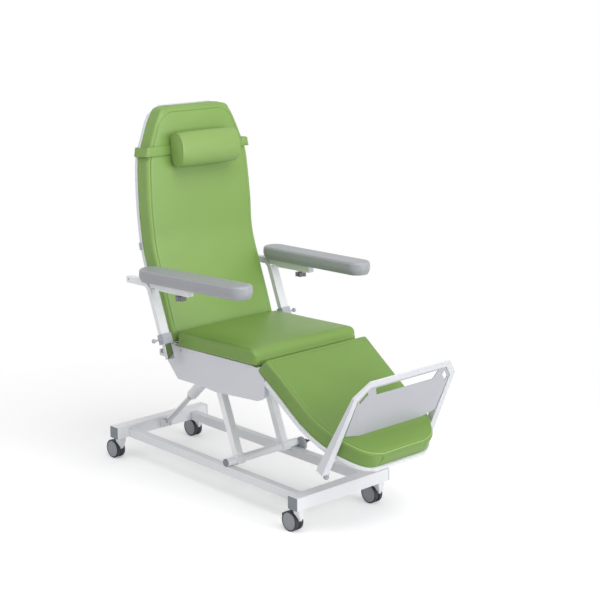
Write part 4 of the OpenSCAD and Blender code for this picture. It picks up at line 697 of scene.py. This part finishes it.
# %% Seams round the cushions
FOOT_PIPING = {"side": 0.012, "first": 0.006, "last": 0.022}
FOOT_END = (-0.27, 0.105)
seams = [
    # The three seam lines carry painted shade of their creases in their darker green.
    seam_line("back_seam", back_pad, "back", BACK, BACK_SEAM, 0.044, 0.9 * MM, "seam_with_painted_shade"),
    seam_line("seat_seam", seat_pad, "seat", SEAT, SEAT_SEAM, 0.026, 0.8 * MM, "seam_with_painted_shade"),
    seam_line("leg_seam", leg_pad, "leg", LEG, LEG_SEAM, 0.034, 0.8 * MM, "seam_with_painted_shade"),
    # The foot piping's paler green is a painted highlight along the edge of the foot end.
    seam_line("foot_piping", leg_pad, "leg", LEG, FOOT_PIPING, 0.034, 1.6 * MM, "piping_with_painted_highlight", FOOT_END, 0.1),
]
print("seams", [len(o.data.splines[0].points) for o in seams])

# %% [markdown]
# The neck pillow is a short bolster. Its cover is a sleeve with a round panel sewn into each end, and foam
# pushes the panels slightly outward. It's flatter behind, where it lies on the backrest. A cylinder is
# sliced and its caps are inset into rings, then every ring takes its size from the bolster's profile.

# %% Helper: the bolster before it is shaped
BOLSTER_SLICES = (0.985, 0.965, 0.945, 0.92, 0.88, 0.82, 0.74, 0.64, 0.5, 0.34, 0.17, 0)
CAP_RINGS = (0.03, 0.04, 0.08, 0.15, 0.2, 0.2, 0.15)


def bolster_blank():
    bm = bmesh.new()
    bmesh.ops.create_cone(bm, cap_ends=True, segments=72, radius1=1, radius2=1, depth=2)
    bmesh.ops.rotate(bm, cent=(0, 0, 0), matrix=Matrix.Rotation(rad(90), 3, "Y"), verts=bm.verts)
    for t in BOLSTER_SLICES:
        for side in (-1, 1):
            bmesh.ops.bisect_plane(bm, geom=bm.verts[:] + bm.edges[:] + bm.faces[:], dist=1e-6,
                plane_co=(t * side, 0, 0), plane_no=(1, 0, 0))
    for width in CAP_RINGS:
        caps = [f for f in bm.faces if len(f.verts) > 20]
        bmesh.ops.inset_individual(bm, faces=caps, thickness=width)
    return bm


# %% Neck pillow
BACK_LEAN = 4.8
CAP_SWELL, CAP_SEAM, CAP_SEAM_HALF = 5 * MM, 2.2 * MM, 0.035
BOLSTER_RIPPLE = 1.2 * MM


def bolster(name, centre, length, thick, high):
    bm = bolster_blank()
    for v in bm.verts:
        u, a, ring = v.co.x, math.atan2(v.co.z, v.co.y), min(math.hypot(v.co.y, v.co.z), 1)
        end = max(0.0, (abs(u) - 0.8) / 0.2)
        k = (1 - 0.035 * end ** 3 - 0.03 * u * u) * ring
        c, s = math.cos(a), math.sin(a)
        front = c < 0
        on_cap = abs(u) > 0.999
        y = k * thick / 2 * (c if front else abs(c) ** 0.6)
        z = k * high / 2 * math.copysign(abs(s) ** 0.82, s)
        rim = math.exp(-((1 - ring) / CAP_SEAM_HALF) ** 2)
        x = u * length / 2 + math.copysign(CAP_SWELL * (1 - ring ** 2) - CAP_SEAM * rim, u) * on_cap
        wave = noise.noise(Vector((u * 2.2, c * 1.4, s * 1.4 + 7)))
        v.co = (x, y + BOLSTER_RIPPLE * wave * (1 if front else 0.2), z)
    bmesh.ops.rotate(bm, cent=(0, 0, 0), matrix=Matrix.Rotation(rad(-BACK_LEAN), 3, "X"), verts=bm.verts)
    bmesh.ops.translate(bm, vec=centre, verts=bm.verts)
    bmesh.ops.recalc_face_normals(bm, faces=bm.faces)
    o = collect(bm, name, "pillow_vinyl", 60)
    soft = o.modifiers.new("soft_skin", "SUBSURF")
    soft.levels = 1
    soft.render_levels = 1
    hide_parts("neck_pillow")
    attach(o, "pillow")
    return o


pillow_middle = [(low + high) / 2 for low, high in zip(*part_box("neck_pillow"))]
pillow = bolster("neck_bolster", pillow_middle, length=0.290, thick=0.084, high=0.140)
print("pillow", len(pillow.data.polygons))

# %% [markdown]
# A flat band of the same vinyl goes round the back and holds the pillow. It's folded from one strip, with a
# row of stitching near each edge, and its end is sewn down on itself in a small square. A flat grid is
# wrapped round the path and then given its thickness.

# %% Helper: the way round the backrest
def wrap_point(t, half, front, rear, r):
    """A point and its outward direction, t of the way round a rectangle with corners of radius r"""
    wide, deep, turn = 2 * (half - r), (rear - front) - 2 * r, math.pi * r / 2
    bends = [(half - r, front + r, -90), (half - r, rear - r, 0), (r - half, rear - r, 90),
        (r - half, front + r, 180)]
    starts = [(r - half, front, 0), (half, front + r, 90), (half - r, rear, 180), (-half, rear - r, 270)]
    d = (t % 1.0) * 2 * (wide + turn + deep + turn)
    for k in range(4):
        straight = deep if k % 2 else wide
        if d <= straight:
            x, y, a = starts[k]
            a = rad(a)
            return (x + d * math.cos(a), y + d * math.sin(a)), (math.sin(a), -math.cos(a))
        d -= straight
        if d <= turn:
            x, y, a = bends[k]
            a = rad(a) + d / r
            return (x + r * math.cos(a), y + r * math.sin(a)), (math.cos(a), math.sin(a))
        d -= turn
    return (r - half, front), (0, -1)


# %% Pillow strap
STRAP_HALF, STRAP_FRONT, STRAP_REAR = 0.2620, -0.0705, 0.0163
STRAP_WIDTH, STRAP_THICK, STRAP_FLARE = 0.036, 2 * MM, 0.008
STRAP_CORNER = 8 * MM
STITCH_INSET, STITCH_DEPTH, EDGE_FOLD, FOLD_HALF = 3.5 * MM, 0.5 * MM, 0.7 * MM, 1.2 * MM
strap_centre = (0, *start_at("recline", 0.171816, 0.757503))


def strap_band(name, around, across):
    bm = bmesh.new()
    bmesh.ops.create_grid(bm, x_segments=around, y_segments=across, size=0.5)
    for v in bm.verts:
        t, z = v.co.x + 0.5, v.co.y * STRAP_WIDTH
        half = STRAP_HALF - STRAP_FLARE * v.co.y
        (x, y), (nx, ny) = wrap_point(t, half, STRAP_FRONT, STRAP_REAR, STRAP_CORNER)
        edge = STRAP_WIDTH / 2 - abs(z)
        off = -STITCH_DEPTH * math.exp(-((edge - STITCH_INSET) / FOLD_HALF) ** 2)
        off -= EDGE_FOLD * math.exp(-(edge / FOLD_HALF) ** 2)
        v.co = (x + nx * off, y + ny * off, z)
    bmesh.ops.remove_doubles(bm, verts=bm.verts, dist=WELD_NEAR)
    bmesh.ops.recalc_face_normals(bm, faces=bm.faces)
    bmesh.ops.solidify(bm, geom=bm.faces[:], thickness=STRAP_THICK)
    bmesh.ops.rotate(bm, cent=(0, 0, 0), matrix=Matrix.Rotation(rad(-BACK_LEAN), 3, "X"), verts=bm.verts)
    bmesh.ops.translate(bm, vec=strap_centre, verts=bm.verts)
    bmesh.ops.recalc_face_normals(bm, faces=bm.faces)
    o = collect(bm, name, "green_vinyl", 50)
    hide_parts("pillow_strap")
    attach(o, "pillow")
    return o


strap = strap_band("pillow_band", around=260, across=20)
print("strap", len(strap.data.polygons))

# %% Stitched end of the strap
PATCH_THICK, PATCH_EDGE, PATCH_INSET = 1.2 * MM, 0.5 * MM, 3 * MM
STITCH_RADIUS, STITCH_STRETCH, STITCH_GAP = 0.5 * MM, 2.2, 3.4 * MM


def stitch(bm, x, y, z, along_x):
    made = bmesh.ops.create_icosphere(bm, subdivisions=2, radius=STITCH_RADIUS)["verts"]
    bmesh.ops.scale(bm, vec=(STITCH_STRETCH, 1, 1) if along_x else (1, 1, STITCH_STRETCH), verts=made)
    bmesh.ops.translate(bm, vec=(x, y, z), verts=made)


def stitched_patch(name, x0, x1, z0, z1, y):
    bm = bmesh.new()
    bmesh.ops.create_cube(bm, size=1.0)
    bmesh.ops.scale(bm, vec=(x1 - x0, PATCH_THICK, z1 - z0), verts=bm.verts)
    bmesh.ops.translate(bm, vec=((x0 + x1) / 2, y, (z0 + z1) / 2), verts=bm.verts)
    bmesh.ops.bevel(bm, geom=bm.edges[:], offset=PATCH_EDGE, segments=2, profile=0.5, affect="EDGES",
        material=-1)
    x0, x1, z0, z1 = x0 + PATCH_INSET, x1 - PATCH_INSET, z0 + PATCH_INSET, z1 - PATCH_INSET
    path = [(x0, z0), (x1, z0), (x1, z1), (x0, z1)]
    for (ax, az), (bx, bz) in zip(path, path[1:] + path[:1]):
        n = round(math.hypot(bx - ax, bz - az) / STITCH_GAP)
        for i in range(n):
            t = (i + 0.5) / n
            stitch(bm, ax + (bx - ax) * t, y - 0.7 * MM, az + (bz - az) * t, abs(bx - ax) > abs(bz - az))
    bmesh.ops.rotate(bm, cent=(0, 0, 0), matrix=Matrix.Rotation(rad(-BACK_LEAN), 3, "X"), verts=bm.verts)
    bmesh.ops.translate(bm, vec=strap_centre, verts=bm.verts)
    o = collect(bm, name, "green_vinyl", 50)
    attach(o, "pillow")
    return o


patch = stitched_patch("strap_stitching", x0=0.222, x1=0.256, z0=-0.016, z1=0.016, y=-0.0711)
print("stitches", len(patch.data.polygons))

# %% [markdown]
# The armrest pads are soft skinned foam, moulded in one go: rounded ends, sides that swell in the middle and
# a flat top with a soft edge. The construction already has that profile, so a copy of it only loses its hard
# lines. The knobs under them are cast with round lobes, and the plastic shells have a thin rolled edge.

# %% Arm pads, knobs and shells
PAD_EDGE, KNOB_EDGE = 2.0, 2.4
SHELL_EDGE = {"back_board": 2.2, "leg_tray": 1.2, "footboard_panel": 1.2}
for side in ("right", "left"):
    softened(f"arm_pad_{side}", PAD_EDGE * MM, 3)
    softened(f"star_knob_{side}", KNOB_EDGE * MM, 3)
for shell, width in SHELL_EDGE.items():
    softened(shell, width * MM, 2)

# %% [markdown]
# The tilt actuator's tube ends in a dark wiper ring, which keeps dust off the rod. It's a turned ring, so a
# small profile is spun round the rod's own line.

# %% Wiper ring of the tilt actuator
RING_BORE, RING_OUTER, RING_WIDTH, RING_EDGE = 11.6 * MM, 19 * MM, 8 * MM, 1.5 * MM


def wiper_ring(name, body, at, along):
    bm = bmesh.new()
    bmesh.ops.create_grid(bm, x_segments=1, y_segments=1, size=0.5)
    bmesh.ops.scale(bm, vec=(RING_OUTER - RING_BORE, RING_WIDTH, 1), verts=bm.verts)
    bmesh.ops.translate(bm, vec=((RING_OUTER + RING_BORE) / 2, 0, 0), verts=bm.verts)
    bmesh.ops.rotate(bm, cent=(0, 0, 0), matrix=Matrix.Rotation(rad(90), 3, "X"), verts=bm.verts)
    bmesh.ops.bevel(bm, geom=bm.verts[:], offset=RING_EDGE, segments=3, profile=0.5, affect="VERTICES",
        material=-1)
    rim = [e for e in bm.edges if e.is_boundary]
    bmesh.ops.delete(bm, geom=bm.faces[:], context="FACES_ONLY")
    bmesh.ops.spin(bm, geom=rim + bm.verts[:], cent=(0, 0, 0), axis=(0, 0, 1), angle=rad(360), steps=48,
        use_merge=True)
    bmesh.ops.remove_doubles(bm, verts=bm.verts, dist=MERGE_NEAR)
    turn = Vector((0, 0, 1)).rotation_difference(along).to_matrix()
    bmesh.ops.rotate(bm, cent=(0, 0, 0), matrix=turn, verts=bm.verts)
    bmesh.ops.translate(bm, vec=at, verts=bm.verts)
    bmesh.ops.recalc_face_normals(bm, faces=bm.faces)
    o = collect(bm, name, "dark_plastic", 40)
    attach(o, body)
    return o


tube_top = Vector(joint_place["tilt_cylinder_turn"])
down = -Vector(next(j for j in behaviour["joints"] if j["name"] == "tilt_rod_slide")["axis"])
tube_length = max(down.normalized().dot(v.co - tube_top) for v in nodes["tilt_cylinder"].data.vertices)
ring = wiper_ring("wiper_ring", "tilt_cylinder", tube_top + down * (tube_length + RING_WIDTH / 2), down)
print("wiper ring", [round(v, 3) for v in tube_top + down * tube_length])
